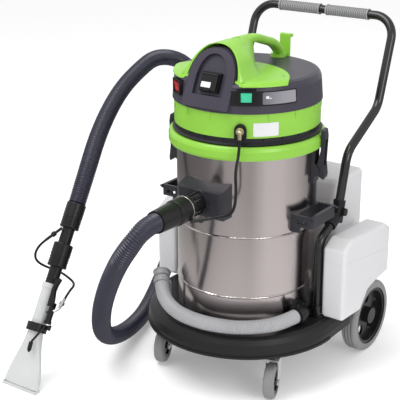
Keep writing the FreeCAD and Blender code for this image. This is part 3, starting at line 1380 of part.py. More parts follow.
# ---------------------------------------------------------------- hoses that lie free
SUCTION_ROUTE = [
    V(0, CUFF_END, INLET_Z),
    V(0, -452, 552),
    V(-6, -481, 536),
    V(-22, -501, 505),
    V(-50, -508, 461),
    V(-92, -498, 392),
    V(-140, -472, 308),
    V(-190, -425, 222),
    V(-240, -358, 146),
    V(-284, -268, 86),
    V(-326, -150, 46),
    V(-368, -20, 33),
    V(-420, 106, 44),
    V(-466, 216, 72),
    V(-500, 318, 128),
    V(-524, 414, 237),
    V(-531, 482, 351),
    V(-530, 522, 469),
    V(-530, 530, 580),
    V(-532, 505, 668),
    V(-533, 446, 728),
    V(-536, 370, 764),
    V(-545, 290, 776),
    V(-543, 212, 753),
    V(-532, 112, 717),
    V(-503, 8, 671),
    V(-466, -95, 614),
    V(-426, -190, 544),
    WAND_TOP,
]
save("suction_hose", free_cord("suction_hose", SUCTION_ROUTE, HOSE_R))

SOLUTION_ROUTE = [
    solution_start,
    solution_start - Z_AXIS * 34,
    V(111, -226, 655),
    V(117, -230, 605),
    V(121, -241, 566),
    V(112, -248, 543),
    beyond(CUFF_FITTING, 26),
    CUFF_FITTING[1],
]
save("solution_hose", free_cord("solution_hose", SOLUTION_ROUTE, SOLUTION_R))

THIN_ROUTE = [
    ROD_FITTING[1],
    beyond(ROD_FITTING, 23),
    wand(204, -78, 17),
    wand(186, -83, -1),
    wand(178, -72, -22),
    wand(176, -48, -40),
    wand(173, -16, -46),
    wand(163, 20, -42),
    wand(153, 47, -37),
    wand(141, 63, -22),
    beyond(VALVE_FITTING, 25),
    VALVE_FITTING[1],
]
save("wand_hose", free_cord("wand_hose", THIN_ROUTE, THIN_R))
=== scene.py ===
import math

import bmesh
import bpy
from mathutils import Matrix, Vector


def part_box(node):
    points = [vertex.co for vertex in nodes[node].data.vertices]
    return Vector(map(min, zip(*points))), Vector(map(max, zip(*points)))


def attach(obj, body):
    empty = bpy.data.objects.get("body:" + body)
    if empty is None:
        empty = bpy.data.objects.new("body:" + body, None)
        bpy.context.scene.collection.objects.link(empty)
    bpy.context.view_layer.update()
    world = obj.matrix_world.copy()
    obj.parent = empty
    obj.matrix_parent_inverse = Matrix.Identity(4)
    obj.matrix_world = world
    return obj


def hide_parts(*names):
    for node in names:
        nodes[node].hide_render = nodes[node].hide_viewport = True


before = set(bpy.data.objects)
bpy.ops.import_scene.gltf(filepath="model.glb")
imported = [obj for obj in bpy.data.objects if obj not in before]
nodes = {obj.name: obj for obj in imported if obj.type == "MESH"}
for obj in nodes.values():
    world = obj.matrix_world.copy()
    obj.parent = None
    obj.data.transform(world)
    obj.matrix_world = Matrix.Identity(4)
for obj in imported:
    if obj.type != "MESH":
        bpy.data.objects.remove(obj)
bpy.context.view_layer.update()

# ---- Studio: the machine stands on a plain pale floor that meets a white room. One large
# soft light hangs above its left front and a weaker one fills its right side. A card that
# only reflections show lies round it, so that the polished steel has light and dark bands.
turn, tilt, lean = (math.radians(angle) for angle in (35.442, 19.927, -0.261))
ahead = Vector((-math.sin(turn) * math.cos(tilt), math.cos(turn) * math.cos(tilt), -math.sin(tilt)))
level = Vector((math.cos(turn), math.sin(turn), 0))
upward = level.cross(ahead)
camera = bpy.data.objects.new("camera", bpy.data.cameras.new("camera"))
bpy.context.collection.objects.link(camera)
side = level * math.cos(lean) + upward * math.sin(lean)
top = upward * math.cos(lean) - level * math.sin(lean)
camera.matrix_world = Matrix((
    (side.x, top.x, -ahead.x, 1.568),
    (side.y, top.y, -ahead.y, -2.429),
    (side.z, top.z, -ahead.z, 1.535),
    (0, 0, 0, 1),
))
camera.data.sensor_width = 36
camera.data.lens = 97.83
bpy.context.scene.camera = camera
bpy.context.scene.view_settings.view_transform = "Standard"

world = bpy.data.worlds.new("white_room")
world.use_nodes = True
room = world.node_tree.nodes["Background"]
room.inputs["Color"].default_value = (1, 1, 1, 1)
room.inputs["Strength"].default_value = 0.85
bpy.context.scene.world = world


def soft_light(name, place, width, watts, aim=(0, 0, 0.5)):
    lamp = bpy.data.lights.new(name, "AREA")
    lamp.shape = "SQUARE"
    lamp.size = width
    lamp.energy = watts
    holder = bpy.data.objects.new(name, lamp)
    bpy.context.collection.objects.link(holder)
    holder.location = place
    holder.rotation_euler = (Vector(aim) - Vector(place)).to_track_quat("-Z", "Y").to_euler()


soft_light("overhead", (-0.7, -1.3, 3.4), 2.2, 68)
soft_light("right_fill", (3.0, -1.2, 1.9), 1.4, 24)


class Number:
    """A value that varies over a surface. Arithmetic on it adds Math nodes."""

    def __init__(self, finish, socket):
        self.finish = finish
        self.socket = socket

    def math(self, operation, *values):
        inputs = {place: value for place, value in enumerate(values)}
        return self.finish.node("ShaderNodeMath", {"operation": operation}, inputs)

    def __add__(self, other):
        return self.math("ADD", self, other)

    def __radd__(self, other):
        return self.math("ADD", other, self)

    def __sub__(self, other):
        return self.math("SUBTRACT", self, other)

    def __rsub__(self, other):
        return self.math("SUBTRACT", other, self)

    def __mul__(self, other):
        return self.math("MULTIPLY", self, other)

    def __rmul__(self, other):
        return self.math("MULTIPLY", other, self)

    def __gt__(self, other):
        return self.math("GREATER_THAN", self, other)

    def __lt__(self, other):
        return self.math("LESS_THAN", self, other)

    def __abs__(self):
        return self.math("ABSOLUTE", self)

    def over(self, low, high):
        """0 below low, 1 above high, and a smooth step between them."""
        settings = {"interpolation_type": "SMOOTHSTEP"}
        inputs = {"Value": self, "From Min": low, "From Max": high}
        return self.finish.node("ShaderNodeMapRange", settings, inputs)


class Finish:
    """A surface finish: a material, with its nodes added one by one."""

    def __init__(self, name, **surface):
        self.material = bpy.data.materials.new(name)
        self.material.use_nodes = True
        self.tree = self.material.node_tree
        self.shader = self.tree.nodes["Principled BSDF"]
        self.place = None
        for key, value in surface.items():
            self.set(key.replace("_", " "), value)

    def set(self, name, value):
        self.join(self.shader.inputs[name], value)

    def join(self, socket, value):
        if isinstance(value, Number):
            self.tree.links.new(value.socket, socket)
        elif socket.type == "RGBA" and len(value) == 3:
            socket.default_value = (*value, 1)
        else:
            socket.default_value = value

    def node(self, kind, settings, inputs, output=0):
        made = self.tree.nodes.new(kind)
        for name, value in settings.items():
            setattr(made, name, value)
        for name, value in inputs.items():
            self.join(made.inputs[name], value)
        return Number(self, made.outputs[output])

    def position(self):
        """The place on the object, in metres."""
        if self.place is None:
            self.place = self.node("ShaderNodeTexCoord", {}, {}, "Object")
        return self.place

    def axes(self):
        """The same as three numbers."""
        made = self.node("ShaderNodeSeparateXYZ", {}, {"Vector": self.position()})
        split = made.socket.node
        return [Number(self, split.outputs[axis]) for axis in range(3)]

    def noise(self, scale, stretch=(1, 1, 1), detail=3.0, rough=0.5):
        mapped = self.node("ShaderNodeMapping", {}, {"Vector": self.position(), "Scale": stretch})
        inputs = {"Vector": mapped, "Scale": scale, "Detail": detail, "Roughness": rough}
        return self.node("ShaderNodeTexNoise", {}, inputs, "Fac")

    def blend(self, share, one, two):
        """From one colour to the other as the share goes from 0 to 1."""
        return self.node("ShaderNodeMix", {"data_type": "RGBA"}, {"Factor": share, 6: one, 7: two}, 2)

    def relief(self, height, depth, strength=1.0):
        """Raised and sunk detail; its depth is in metres."""
        inputs = {"Height": height, "Distance": depth, "Strength": strength}
        return self.node("ShaderNodeBump", {}, inputs)

    def distance(self, place, centre):
        settings = {"operation": "DISTANCE"}
        return self.node("ShaderNodeVectorMath", settings, {0: place, 1: centre}, "Value")


def board(name, half, height, finish):
    """A level square sheet that isn't part of the machine."""
    mesh = bpy.data.meshes.new(name)
    corners = [(-half, -half, height), (half, -half, height), (half, half, height), (-half, half, height)]
    mesh.from_pydata(corners, [], [range(4)])
    mesh.materials.append(finish.material)
    sheet = bpy.data.objects.new(name, mesh)
    bpy.context.collection.objects.link(sheet)
    return sheet


board("floor", 12, 0, Finish("floor", Base_Color=(0.95, 0.95, 0.95), Roughness=0.8,
                             Emission_Color=(1, 1, 1), Emission_Strength=0.16))


def card_finish():
    """Its shade changes round the machine, as angles from the camera's direction, and turns
    to white with the distance from it."""
    made = Finish("reflected_card", Roughness=1.0, Base_Color=(0, 0, 0), Specular_IOR_Level=0.0)
    turned = made.node("ShaderNodeMapping", {}, {
        "Vector": made.position(), "Rotation": (0, 0, math.pi / 2 - turn)})
    round_it = made.node("ShaderNodeTexGradient", {"gradient_type": "RADIAL"}, {"Vector": turned}, 1)
    ramp = made.node("ShaderNodeValToRGB", {}, {"Fac": round_it})
    stops = [(-180, 0.18), (-100, 0.16), (-64, 0.20), (-42, 0.42), (-18, 0.50), (4, 0.42),
             (28, 0.78), (52, 0.78), (82, 0.58), (112, 0.28), (180, 0.22)]
    elements = ramp.socket.node.color_ramp.elements
    while len(elements) < len(stops):
        elements.new(0.5)
    for element, (angle, shade) in zip(elements, stops):
        element.position = 0.5 + angle / 360
        element.color = (shade, shade * 0.985, shade * 0.98, 1)
    near = 1 - made.distance(made.position(), (0, 0, 0)).over(0.5, 2.0)
    made.set("Emission Color", made.blend(near * 0.55, ramp, (0.98, 0.97, 0.96)))
    made.set("Emission Strength", 1.0)
    return made


card = board("reflected_card", 7, 0.001, card_finish())
card.visible_camera = card.visible_diffuse = card.visible_shadow = False
card.visible_transmission = False


# ---- Suction hose: 2.8 m of dark blue-grey corrugated hose, 52 mm across. It is pushed into
# the machine's cuff and the wand's upper cuff, lies on the floor beside the left wheel,
# stands up behind the machine and comes back over to the wand.
def moulded(name, colour, rough, grain=900, depth=0.00012, scuff=0.25, **more):
    """Injection-moulded plastic: a fine grain, a slow change of gloss, and paler scuffs."""
    made = Finish(name, **more)
    if max(colour) < 0.1:
        made.set("Specular IOR Level", 0.28)
    cloud = made.noise(7)
    fine = made.noise(grain, detail=2)
    pale = tuple(min(1, c * 1.5 + 0.008) for c in colour)
    made.set("Base Color", made.blend(cloud.over(0.35, 0.8) * scuff, colour, pale))
    made.set("Roughness", cloud * 0.16 + (rough - 0.08))
    made.set("Normal", made.relief(fine, depth, 0.6))
    return made


def paint(finish, *names):
    """Gives CAD nodes a finish."""
    for name in names:
        mesh = nodes[name].data
        mesh.materials.clear()
        mesh.materials.append(finish.material)


def made_of(mesh_object, finish, body, *replaced):
    """Links a new piece, gives it a finish and a body, and hides what it stands for."""
    if mesh_object.name not in bpy.context.collection.objects:
        bpy.context.collection.objects.link(mesh_object)
    mesh_object.data.materials.append(finish.material)
    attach(mesh_object, body)
    if replaced:
        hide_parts(*replaced)
    return mesh_object


def cord_line(name, points, radius=0.0):
    """One smooth line through the air, guided by points."""
    curve = bpy.data.curves.new(name, "CURVE")
    curve.dimensions = "3D"
    spline = curve.splines.new("NURBS")
    spline.points.add(len(points) - 1)
    for point, place in zip(spline.points, points):
        point.co = (*place, 1)
    spline.order_u = 3
    spline.use_endpoint_u = True
    spline.resolution_u = 12
    curve.bevel_depth = radius
    curve.bevel_resolution = 5
    curve.use_fill_caps = True
    return bpy.data.objects.new(name, curve)


def centreline(points, step):
    """Evenly spaced places along the smooth line, from its own curve."""
    guide = cord_line("guide", points)
    mesh = bpy.data.meshes.new_from_object(guide)
    places = [v.co.copy() for v in mesh.vertices]
    bpy.data.objects.remove(guide)
    bpy.data.meshes.remove(mesh)
    runs = [(b - a).length for a, b in zip(places, places[1:])]
    count = round(sum(runs) / step)
    gap = sum(runs) / count
    result = [places[0]]
    walked, due, index = 0.0, gap, 0
    while len(result) < count:
        while walked + runs[index] < due:
            walked += runs[index]
            index += 1
        share = (due - walked) / runs[index]
        result.append(places[index].lerp(places[index + 1], share))
        due += gap
    return result + [places[-1]], sum(runs)


def finished(name, shape):
    """An object from a mesh under construction."""
    mesh = bpy.data.meshes.new(name)
    shape.to_mesh(mesh)
    shape.free()
    return bpy.data.objects.new(name, mesh)


def ribbed_tube(name, line, radii, sides=28):
    """A tube round a line of close places, its radius repeating in the order of radii."""
    shape = bmesh.new()
    ahead_now = (line[1] - line[0]).normalized()
    across = ahead_now.orthogonal().normalized()
    rings = []
    for index, place in enumerate(line):
        after = line[min(index + 1, len(line) - 1)]
        before = line[max(index - 1, 0)]
        heading = (after - before).normalized()
        across = (across - heading * across.dot(heading)).normalized()
        third = heading.cross(across)
        radius = radii[index % len(radii)]
        ring = []
        for step in range(sides):
            angle = 2 * math.pi * step / sides
            out = across * math.cos(angle) + third * math.sin(angle)
            ring.append(shape.verts.new(place + out * radius))
        rings.append(ring)
    for one, two in zip(rings, rings[1:]):
        for step in range(sides):
            nxt = (step + 1) % sides
            shape.faces.new((one[step], one[nxt], two[nxt], two[step]))
    shape.faces.new(list(reversed(rings[0])))
    shape.faces.new(rings[-1])
    for face in shape.faces:
        face.smooth = len(face.verts) == 4
    return finished(name, shape)


suction_points = [
    (0, -0.420, 0.552), (0, -0.452, 0.552), (-0.006, -0.481, 0.536), (-0.022, -0.501, 0.505),
    (-0.050, -0.508, 0.461), (-0.092, -0.498, 0.392), (-0.140, -0.472, 0.308),
    (-0.190, -0.425, 0.222), (-0.240, -0.358, 0.146), (-0.284, -0.268, 0.086),
    (-0.326, -0.150, 0.046), (-0.368, -0.020, 0.033), (-0.420, 0.106, 0.044),
    (-0.466, 0.216, 0.072), (-0.500, 0.318, 0.128), (-0.524, 0.414, 0.237),
    (-0.531, 0.482, 0.351), (-0.530, 0.522, 0.469), (-0.530, 0.530, 0.580),
    (-0.532, 0.505, 0.668), (-0.533, 0.446, 0.728), (-0.536, 0.370, 0.764),
    (-0.545, 0.290, 0.776), (-0.543, 0.212, 0.753), (-0.532, 0.112, 0.717),
    (-0.503, 0.008, 0.671), (-0.466, -0.095, 0.614), (-0.426, -0.190, 0.544),
    (-0.420, -0.245, 0.463),
]
RIB_STEPS = 6             # places along one rib
suction_line, suction_length = centreline(suction_points, 0.0063 / RIB_STEPS)


def ribs(radius, depth):
    """The radii of one rib, crest first."""
    turns = [2 * math.pi * step / RIB_STEPS for step in range(RIB_STEPS)]
    return [radius - depth * (1 - math.cos(swing)) / 2 for swing in turns]


suction = ribbed_tube("corrugated_hose", suction_line, ribs(0.026, 0.0030))
hose_blue = Finish("hose_plastic")
cloud = hose_blue.noise(9)
hose_blue.set("Base Color", hose_blue.blend(cloud, (0.019, 0.019, 0.034), (0.031, 0.031, 0.055)))
hose_blue.set("Roughness", cloud * 0.12 + 0.20)
hose_blue.set("Normal", hose_blue.relief(hose_blue.noise(600), 0.0001, 0.5))
made_of(suction, hose_blue, "chassis", "suction_hose")


# ---- Solution hose: 25 cm of limp 8 mm black hose. It hangs from the coupling on the motor
# head and ends in the fitting below the suction inlet.
def round_hose(name, points, radius, finish, replaced):
    hose = made_of(cord_line(name, points, radius), finish, "chassis", replaced)
    length = centreline(points, 0.01)[1]
    return hose


black_hose = moulded("cord_plastic", (0.008, 0.008, 0.009), 0.30, grain=1400)
solution_points = [
    (0.10798, -0.20308, 0.734), (0.10798, -0.20308, 0.700), (0.111, -0.226, 0.655),
    (0.117, -0.230, 0.605), (0.121, -0.241, 0.566), (0.112, -0.248, 0.543),
    (0.08713, -0.25269, 0.53519), (0.068, -0.270, 0.532),
]
round_hose("solution_line", solution_points, 0.004, black_hose, "solution_hose")

# ---- Wand hose: 30 cm of the same hose, 7 mm across, from the fitting at the wand's top to
# its trigger valve. Places on the wand are given up it, to its right and to its front.
wand_neck = Vector((-0.405, -0.452, 0.155))
wand_up = Vector((-15, 207, 308)).normalized()
wand_right = (Vector((1, 0, 0)) - wand_up * wand_up.x).normalized()
wand_front = wand_right.cross(wand_up)


def on_wand(up, right, front):
    return wand_neck + wand_up * up + wand_right * right + wand_front * front


wand_points = [
    on_wand(0.246, -0.046, 0.026), on_wand(0.2292, -0.0616, 0.0268),
    on_wand(0.204, -0.078, 0.017), on_wand(0.186, -0.083, -0.001),
    on_wand(0.178, -0.072, -0.022), on_wand(0.176, -0.048, -0.040),
    on_wand(0.173, -0.016, -0.046), on_wand(0.163, 0.020, -0.042),
    on_wand(0.153, 0.047, -0.037), on_wand(0.141, 0.063, -0.022),
    on_wand(0.1244, 0.0666, -0.005), on_wand(0.100, 0.062, -0.002),
]
round_hose("wand_line", wand_points, 0.0035, black_hose, "wand_hose")

# ---- Drain hose: light grey corrugated hose, 40 mm across. It is clamped on the drum's outlet
# and lies on the dolly round the front, up to its cap.
drain_points = [
    (0.21591, -0.08275, 0.216), (0.20549, -0.14184, 0.216), (0.170, -0.190, 0.215),
    (0.117, -0.229, 0.214), (0.055, -0.250, 0.214), (-0.010, -0.254, 0.214),
    (-0.072, -0.244, 0.217), (-0.122, -0.224, 0.229), (-0.156, -0.197, 0.249),
    (-0.181, -0.163, 0.276),
]
drain_line = centreline(drain_points, 0.0055 / RIB_STEPS)[0]
drain = ribbed_tube("drain_line", drain_line, ribs(0.0200, 0.0026), 36)
drain_grey = moulded("drain_plastic", (0.36, 0.36, 0.375), 0.36, grain=700)
made_of(drain, drain_grey, "chassis", "drain_hose")

# ---- Drum: rolled stainless sheet, polished along its circumference, with two beads and a
# rolled rim. Its weld runs down the back.
drum_steel = Finish("drum_steel", Metallic=1.0)
brush = drum_steel.noise(60, (1, 1, 26), detail=4)
cloud = drum_steel.noise(3)
drum_steel.set("Base Color", drum_steel.blend(cloud, (0.56, 0.51, 0.505), (0.64, 0.585, 0.575)))
drum_steel.set("Roughness", brush * 0.08 + 0.13)
right, back, up = drum_steel.axes()
weld = (1 - abs(right).over(0.001, 0.003)) * (back > 0)
drum_steel.set("Normal", drum_steel.relief(brush * 0.25 + weld, 0.00035, 0.5))
paint(drum_steel, "drum")

# ---- Dolly: one black rotomoulded shell with a round lipped front and a deck at the back. The
# drum stands in its recess, and the casters and the axle are bolted under it.
dolly_black = moulded("dolly_plastic", (0.010, 0.010, 0.011), 0.40, grain=450, depth=0.0003)
paint(dolly_black, "dolly_base")

# ---- Small black plastic pieces: the hoses' cuffs, swivel and elbow, switch frames, valve and
# glands are moulded in glossy black, and the inlet box, latches and tool holders in dark
# slate. They are screwed, pushed or clamped on. The drain's cap and clip are mid grey.
gloss_black = moulded("black_plastic", (0.008, 0.008, 0.009), 0.28)
paint(gloss_black, "hose_cuff", "inlet_swivel", "wand_cuffs", "clamp_collar", "trigger_lever",
      "trigger_valve", "power_gland", "coupling_boss", "switch_bezels", "socket_box",
      "handle_joints", "float_cage", "wand_tube", "drain_elbow", "tank_cap", "spray_jet",
      "socket_flap")
slate = moulded("holder_plastic", (0.026, 0.026, 0.032), 0.32)
paint(slate, "inlet_box", "tool_holders", "latch_bases", "latch_left", "latch_right")
paint(moulded("drain_cap_plastic", (0.22, 0.22, 0.23), 0.42), "drain_cap", "drain_clip",
      "float_ball")

# ---- Clean-water tank: natural white polyethylene, blow moulded. Its two halves meet in a
# fine line that falls towards the back, and light sinks a little way into it.
tank_white = Finish("tank_plastic")
cloud = tank_white.noise(5)
tank_white.set("Base Color", tank_white.blend(cloud, (0.60, 0.595, 0.61), (0.68, 0.675, 0.69)))
tank_white.set("Roughness", cloud * 0.12 + 0.30)
tank_white.set("Subsurface Weight", 0.25)
tank_white.set("Subsurface Radius", (0.02, 0.02, 0.02))
tank_white.set("Subsurface Scale", 0.3)
right, back, up = tank_white.axes()
parting = 1 - abs(up + back * 0.12 - 0.362).over(0.0006, 0.0016)
orange_peel = tank_white.noise(160, detail=1)
tank_white.set("Normal", tank_white.relief(parting + orange_peel * 0.15, 0.0008, 0.8))
paint(tank_white, "clean_tank")

# ---- Push handle and frame: bent steel tube, powder coated in glossy black. The handle's ends
# are clamped to the two frame tubes, which stand in the dolly beside the drum.
tube_black = moulded("black_tube", (0.006, 0.006, 0.007), 0.20, grain=300, depth=0.00006)
tube_black.set("Specular IOR Level", 0.6)
paint(tube_black, "frame_tubes", "handle_tube")

# ---- Grips: two sleeves of soft light grey rubber pushed on the handle's crossbar. Painted
# shade makes the ribs' valleys darker than their crests, and a little dust mottles them.
grip_low, grip_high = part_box("handle_grips")
grip_grey = Finish("grip_rubber", Roughness=0.6)
tube_centre = (0, (grip_low.y + grip_high.y) / 2, (grip_low.z + grip_high.z) / 2)
around = grip_grey.node("ShaderNodeVectorMath", {"operation": "MULTIPLY"},
                        {0: grip_grey.position(), 1: (0, 1, 1)})
# painted shade: the rib valleys, nearer the tube's axis, take the dark colour, and the noise adds dust
unshaded_crest = grip_grey.distance(around, tube_centre).over(0.0146, 0.0153)
grime = grip_grey.noise(30)
grip_grey.set("Base Color", grip_grey.blend(unshaded_crest * 0.85 + grime * 0.15, (0.12, 0.12, 0.125),
                                            (0.33, 0.33, 0.335)))
grip_grey.set("Normal", grip_grey.relief(grip_grey.noise(500), 0.0002, 0.6))
paint(grip_grey, "handle_grips")


# ---- Wheels: grey rubber tyres moulded on black plastic hubs, matt with fine dust. The rear
# wheels turn on one axle and each caster wheel turns in its fork.
def wheel_finish(name, centre, hub_radius):
    made = Finish(name)
    reach = made.distance(made.position(), centre)
    tyre = reach.over(hub_radius - 0.0004, hub_radius + 0.0004)
    dust = made.noise(25)
    rubber = made.blend(dust, (0.17, 0.17, 0.175), (0.25, 0.25, 0.25))
    made.set("Base Color", made.blend(tyre, (0.008, 0.008, 0.009), rubber))
    made.set("Roughness", dust * 0.15 + tyre * 0.25 + 0.27)
    made.set("Normal", made.relief(made.noise(420), 0.0003, 0.6))
    return made


for side in ("left", "right"):
    low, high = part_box("rear_wheel_" + side)
    hub = ((0.086 ** 2) + (high.x - low.x) ** 2 / 4) ** 0.5
    paint(wheel_finish("rear_tyre_" + side, (low + high) / 2, hub), "rear_wheel_" + side)
    low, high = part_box("caster_wheel_" + side)
    paint(wheel_finish("caster_tyre_" + side, (low + high) / 2, 0.039), "caster_wheel_" + side)


# ---- Bare metal: zinc-plated caster forks, axle and motor plate, nickel-plated screws, a brass
# coupling and cast motor housings. The wand's hose fittings are bright below, black above.
def metal(name, colour, rough, grain=350):
    made = Finish(name, Metallic=1.0)
    spangle = made.noise(grain, detail=2)
    dark = tuple(c * 0.72 for c in colour)
    made.set("Base Color", made.blend(spangle.over(0.3, 0.7), dark, colour))
    made.set("Roughness", spangle * 0.14 + (rough - 0.07))
    made.set("Normal", made.relief(spangle, 0.0001, 0.4))
    return made


zinc = metal("plated_steel", (0.62, 0.63, 0.65), 0.33, 180)
paint(zinc, "caster_fork_left", "caster_fork_right", "rear_axle", "motor_plate")
nickel = metal("chromed", (0.74, 0.73, 0.71), 0.20)
paint(nickel, "cover_screws")
fitting = Finish("fitting_metal")
bright = fitting.axes()[2] < 0.31
scratch = fitting.noise(260)
fitting.set("Base Color", fitting.blend(bright, (0.010, 0.010, 0.011), (0.66, 0.65, 0.63)))
fitting.set("Metallic", bright)
fitting.set("Roughness", scratch * 0.14 + 0.18)
fitting.set("Normal", fitting.relief(scratch, 0.0001, 0.4))
paint(fitting, "hose_fittings")
paint(metal("brass", (0.72, 0.62, 0.40), 0.24), "quick_coupling")
paint(metal("motor_metal", (0.45, 0.46, 0.48), 0.4), "vacuum_motors", "solution_pump")

# ---- Lime green covers: clamping ring, skirt band, hood with its carrying handle, and cable
# hook, all moulded in one colour with a satin gloss. They are screwed to the motor cover.
lime = moulded("lime_plastic", (0.235, 0.52, 0.045), 0.30, grain=800, depth=0.00008, scuff=0.12)
paint(lime, "head_ring", "skirt_band", "top_cover", "cable_hook")


# ---- Hood flanks: the hood's two sides, which swell over the nose, sweep out into the plate
# and draw in to the carrying handle. One smooth skin on each side.
def hood_flank(side):
    # places along the hood, with half its own width there and half the flank's
    stations = [(-0.170, 0.0815, 0.0820), (-0.150, 0.0778, 0.0800), (-0.130, 0.0731, 0.0788),
                (-0.110, 0.0685, 0.0775), (-0.095, 0.0645, 0.0760), (-0.080, 0.0575, 0.0715),
                (-0.060, 0.0497, 0.0600), (-0.040, 0.0410, 0.0480), (-0.020, 0.0315, 0.0350),
                (-0.004, 0.0240, 0.0245)]

    def width(y, column):
        y = min(max(y, stations[0][0]), stations[-1][0])
        for one, two in zip(stations, stations[1:]):
            if y <= two[0]:
                share = (y - one[0]) / (two[0] - one[0])
                return one[column] + (two[column] - one[column]) * share

    plate_top, crown = 0.8742, 0.9605
    back = stations[-1][0]
    upper, lower = 22, 90              # degrees from the crown, where the skin starts and ends
    shape = bmesh.new()
    rows = []
    for step in range(29):
        degrees = upper + (lower - upper) * step / 28
        wide = math.sin(math.radians(degrees)) ** 0.92
        z = plate_top + (crown - plate_top) * math.cos(math.radians(degrees))
        front = -0.1650 + (z - 0.888) * 0.436
        swell = min(1, max(0, degrees - 24) / 40)
        swell = swell * swell * (3 - 2 * swell)
        flare = 0.016 * max(0, (degrees - 64) / 26) ** 2.2
        row = [shape.verts.new((side * (width(front, 1) * wide - 0.004), front + 0.003, z))]
        for along in range(33):
            y = front + (back - front) * along / 32
            inner = width(y, 1) - 0.0006
            half = inner + (width(y, 2) - inner) * swell
            spread = flare * min(1, (back - y) / 0.05)
            row.append(shape.verts.new((side * (half * wide + spread), y, z)))
        rows.append(row)
    for one, two in zip(rows, rows[1:]):
        for a, b, c, d in zip(one, one[1:], two[1:], two):
            shape.faces.new((a, b, c, d)[::side]).smooth = True
    return finished("hood_flank_" + ("right" if side > 0 else "left"), shape)


for side in (-1, 1):
    made_of(hood_flank(side), lime, "head")

# ---- Motor cover: one moulding of dark violet-grey plastic with a fine spark-eroded grain. It
# holds the switches and the socket and closes the head over the motors.
anthracite = moulded("anthracite_plastic", (0.040, 0.036, 0.052), 0.34, grain=650, scuff=0.18)
paint(anthracite, "motor_cover")

# ---- Seal: a ring of black rubber between the skirt band and the clamping ring, pressed tight
# by the latches, with a slow waviness.
rubber = moulded("seal_rubber", (0.014, 0.014, 0.018), 0.50, grain=300, depth=0.0003)
paint(rubber, "head_seal")

# ---- Filter: a pleated drum of white felt under the motors, matt and fibrous. It is pushed
# over the float's cage.
felt = Finish("filter_felt", Roughness=0.95)
fibre = felt.noise(700, (1, 1, 4))
felt.set("Base Color", felt.blend(fibre, (0.50, 0.50, 0.48), (0.78, 0.78, 0.75)))
felt.set("Normal", felt.relief(fibre, 0.0006, 1.0))
paint(felt, "dust_filter")

# ---- Wand's clear pieces: the tube and the flat spray nozzle, moulded in clear plastic that
# water has frosted. They are pushed together in the black collar.
frosted = Finish("clear_plastic")
haze = frosted.noise(14)
frosted.set("Base Color", frosted.blend(haze, (0.52, 0.53, 0.53), (0.60, 0.61, 0.61)))
frosted.set("Roughness", haze * 0.04 + 0.22)
frosted.set("Subsurface Weight", 0.4)
frosted.set("Subsurface Radius", (0.01, 0.01, 0.01))
frosted.set("Normal", frosted.relief(frosted.noise(500), 0.0001, 0.5))
paint(frosted, "clear_tube", "nozzle")


# ---- Rockers: a green one with a lamp in it, and two red ones side by side, moulded in
# tinted plastic. Each clicks over in its frame on the motor cover.
def rocker_finish(name, colour, lamp_or_painted_glow):
    made = Finish(name)
    cloud = made.noise(60)
    pale = tuple(min(1, c * 1.4 + 0.03) for c in colour)
    made.set("Base Color", made.blend(cloud, colour, pale))
    made.set("Roughness", cloud * 0.1 + 0.14)
    made.set("Emission Color", colour)
    made.set("Emission Strength", lamp_or_painted_glow)
    return made


paint(rocker_finish("green_switch", (0.02, 0.34, 0.19), 0.35), "green_rocker")
# the red rockers have no lamp: their faint emission is painted glow
paint(rocker_finish("red_switch", (0.36, 0.007, 0.012), 0.08), "red_rocker_front",
      "red_rocker_rear")


# ---- Labels: blank film, stuck on. One lies on the skirt band and one on the socket's flap,
# and a panel with two water drops runs beside the green switch on a black surround.
def curved_plate(name, radii, middle, half, low, high, corner, thick):
    """A plate with round corners, bent round the drum's axis at a radius for its lower and
    one for its upper edge. Angles run from the front."""
    shape = bmesh.new()
    rows = []
    heights = [0, 0.15, 0.4, 0.7, 1]
    places = [low + corner * h for h in heights] + [high - corner * h for h in reversed(heights)]
    for z in places:
        short = max(0, corner - min(z - low, high - z))
        inset = corner - math.sqrt(corner * corner - short * short)
        row = []
        for step in range(25):
            angle = math.radians(middle) + (step / 12 - 1) * (half - inset) / radii[0]
            row.append((math.sin(angle), -math.cos(angle), z))
        rows.append(row)

    def surface(lift):
        grid = []
        for row in rows:
            share = (row[0][2] - low) / (high - low)
            r = radii[0] + (radii[1] - radii[0]) * share + lift
            grid.append([shape.verts.new((x * r, y * r, z)) for x, y, z in row])
        return grid

    outer, inner = surface(thick), surface(0)
    for grid, turn in ((outer, 1), (inner, -1)):
        for one, two in zip(grid, grid[1:]):
            for a, b, c, d in zip(one, one[1:], two[1:], two):
                shape.faces.new((a, b, c, d)[::turn])
    for edge_out, edge_in in ((outer[0], inner[0]), (outer[-1], inner[-1])):
        for a, b, c, d in zip(edge_out, edge_out[1:], edge_in[1:], edge_in):
            shape.faces.new((a, b, c, d))
    for end in (0, -1):
        for k in range(len(rows) - 1):
            shape.faces.new((outer[k][end], outer[k + 1][end], inner[k + 1][end], inner[k][end]))
    bmesh.ops.recalc_face_normals(shape, faces=shape.faces)
    return finished(name, shape)


film = Finish("label_film")
cloud = film.noise(30)
film.set("Base Color", film.blend(cloud, (0.62, 0.62, 0.64), (0.70, 0.70, 0.71)))
film.set("Roughness", cloud * 0.1 + 0.3)
band_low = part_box("skirt_band")[0].z
band_label = curved_plate("band_label", (0.2012, 0.2012), 47, 0.034, band_low + 0.005,
                          band_low + 0.041, 0.003, 0.0005)
made_of(band_label, film, "head")
cover_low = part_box("motor_cover")[0].z
surround = curved_plate("switch_surround", (0.2033, 0.2003), 46, 0.091, cover_low + 0.0215,
                        cover_low + 0.0595, 0.004, 0.0007)
made_of(surround, gloss_black, "head")
panel_grey = Finish("panel_plastic")
across, _, _ = panel_grey.axes()
fade = across.over(0.13, 0.19)
fine = panel_grey.noise(500, detail=2)
panel_grey.set("Base Color", panel_grey.blend(fade, (0.10, 0.095, 0.125), (0.26, 0.25, 0.28)))
panel_grey.set("Roughness", fine * 0.1 + 0.25)
panel_grey.set("Normal", panel_grey.relief(fine, 0.00005, 0.5))
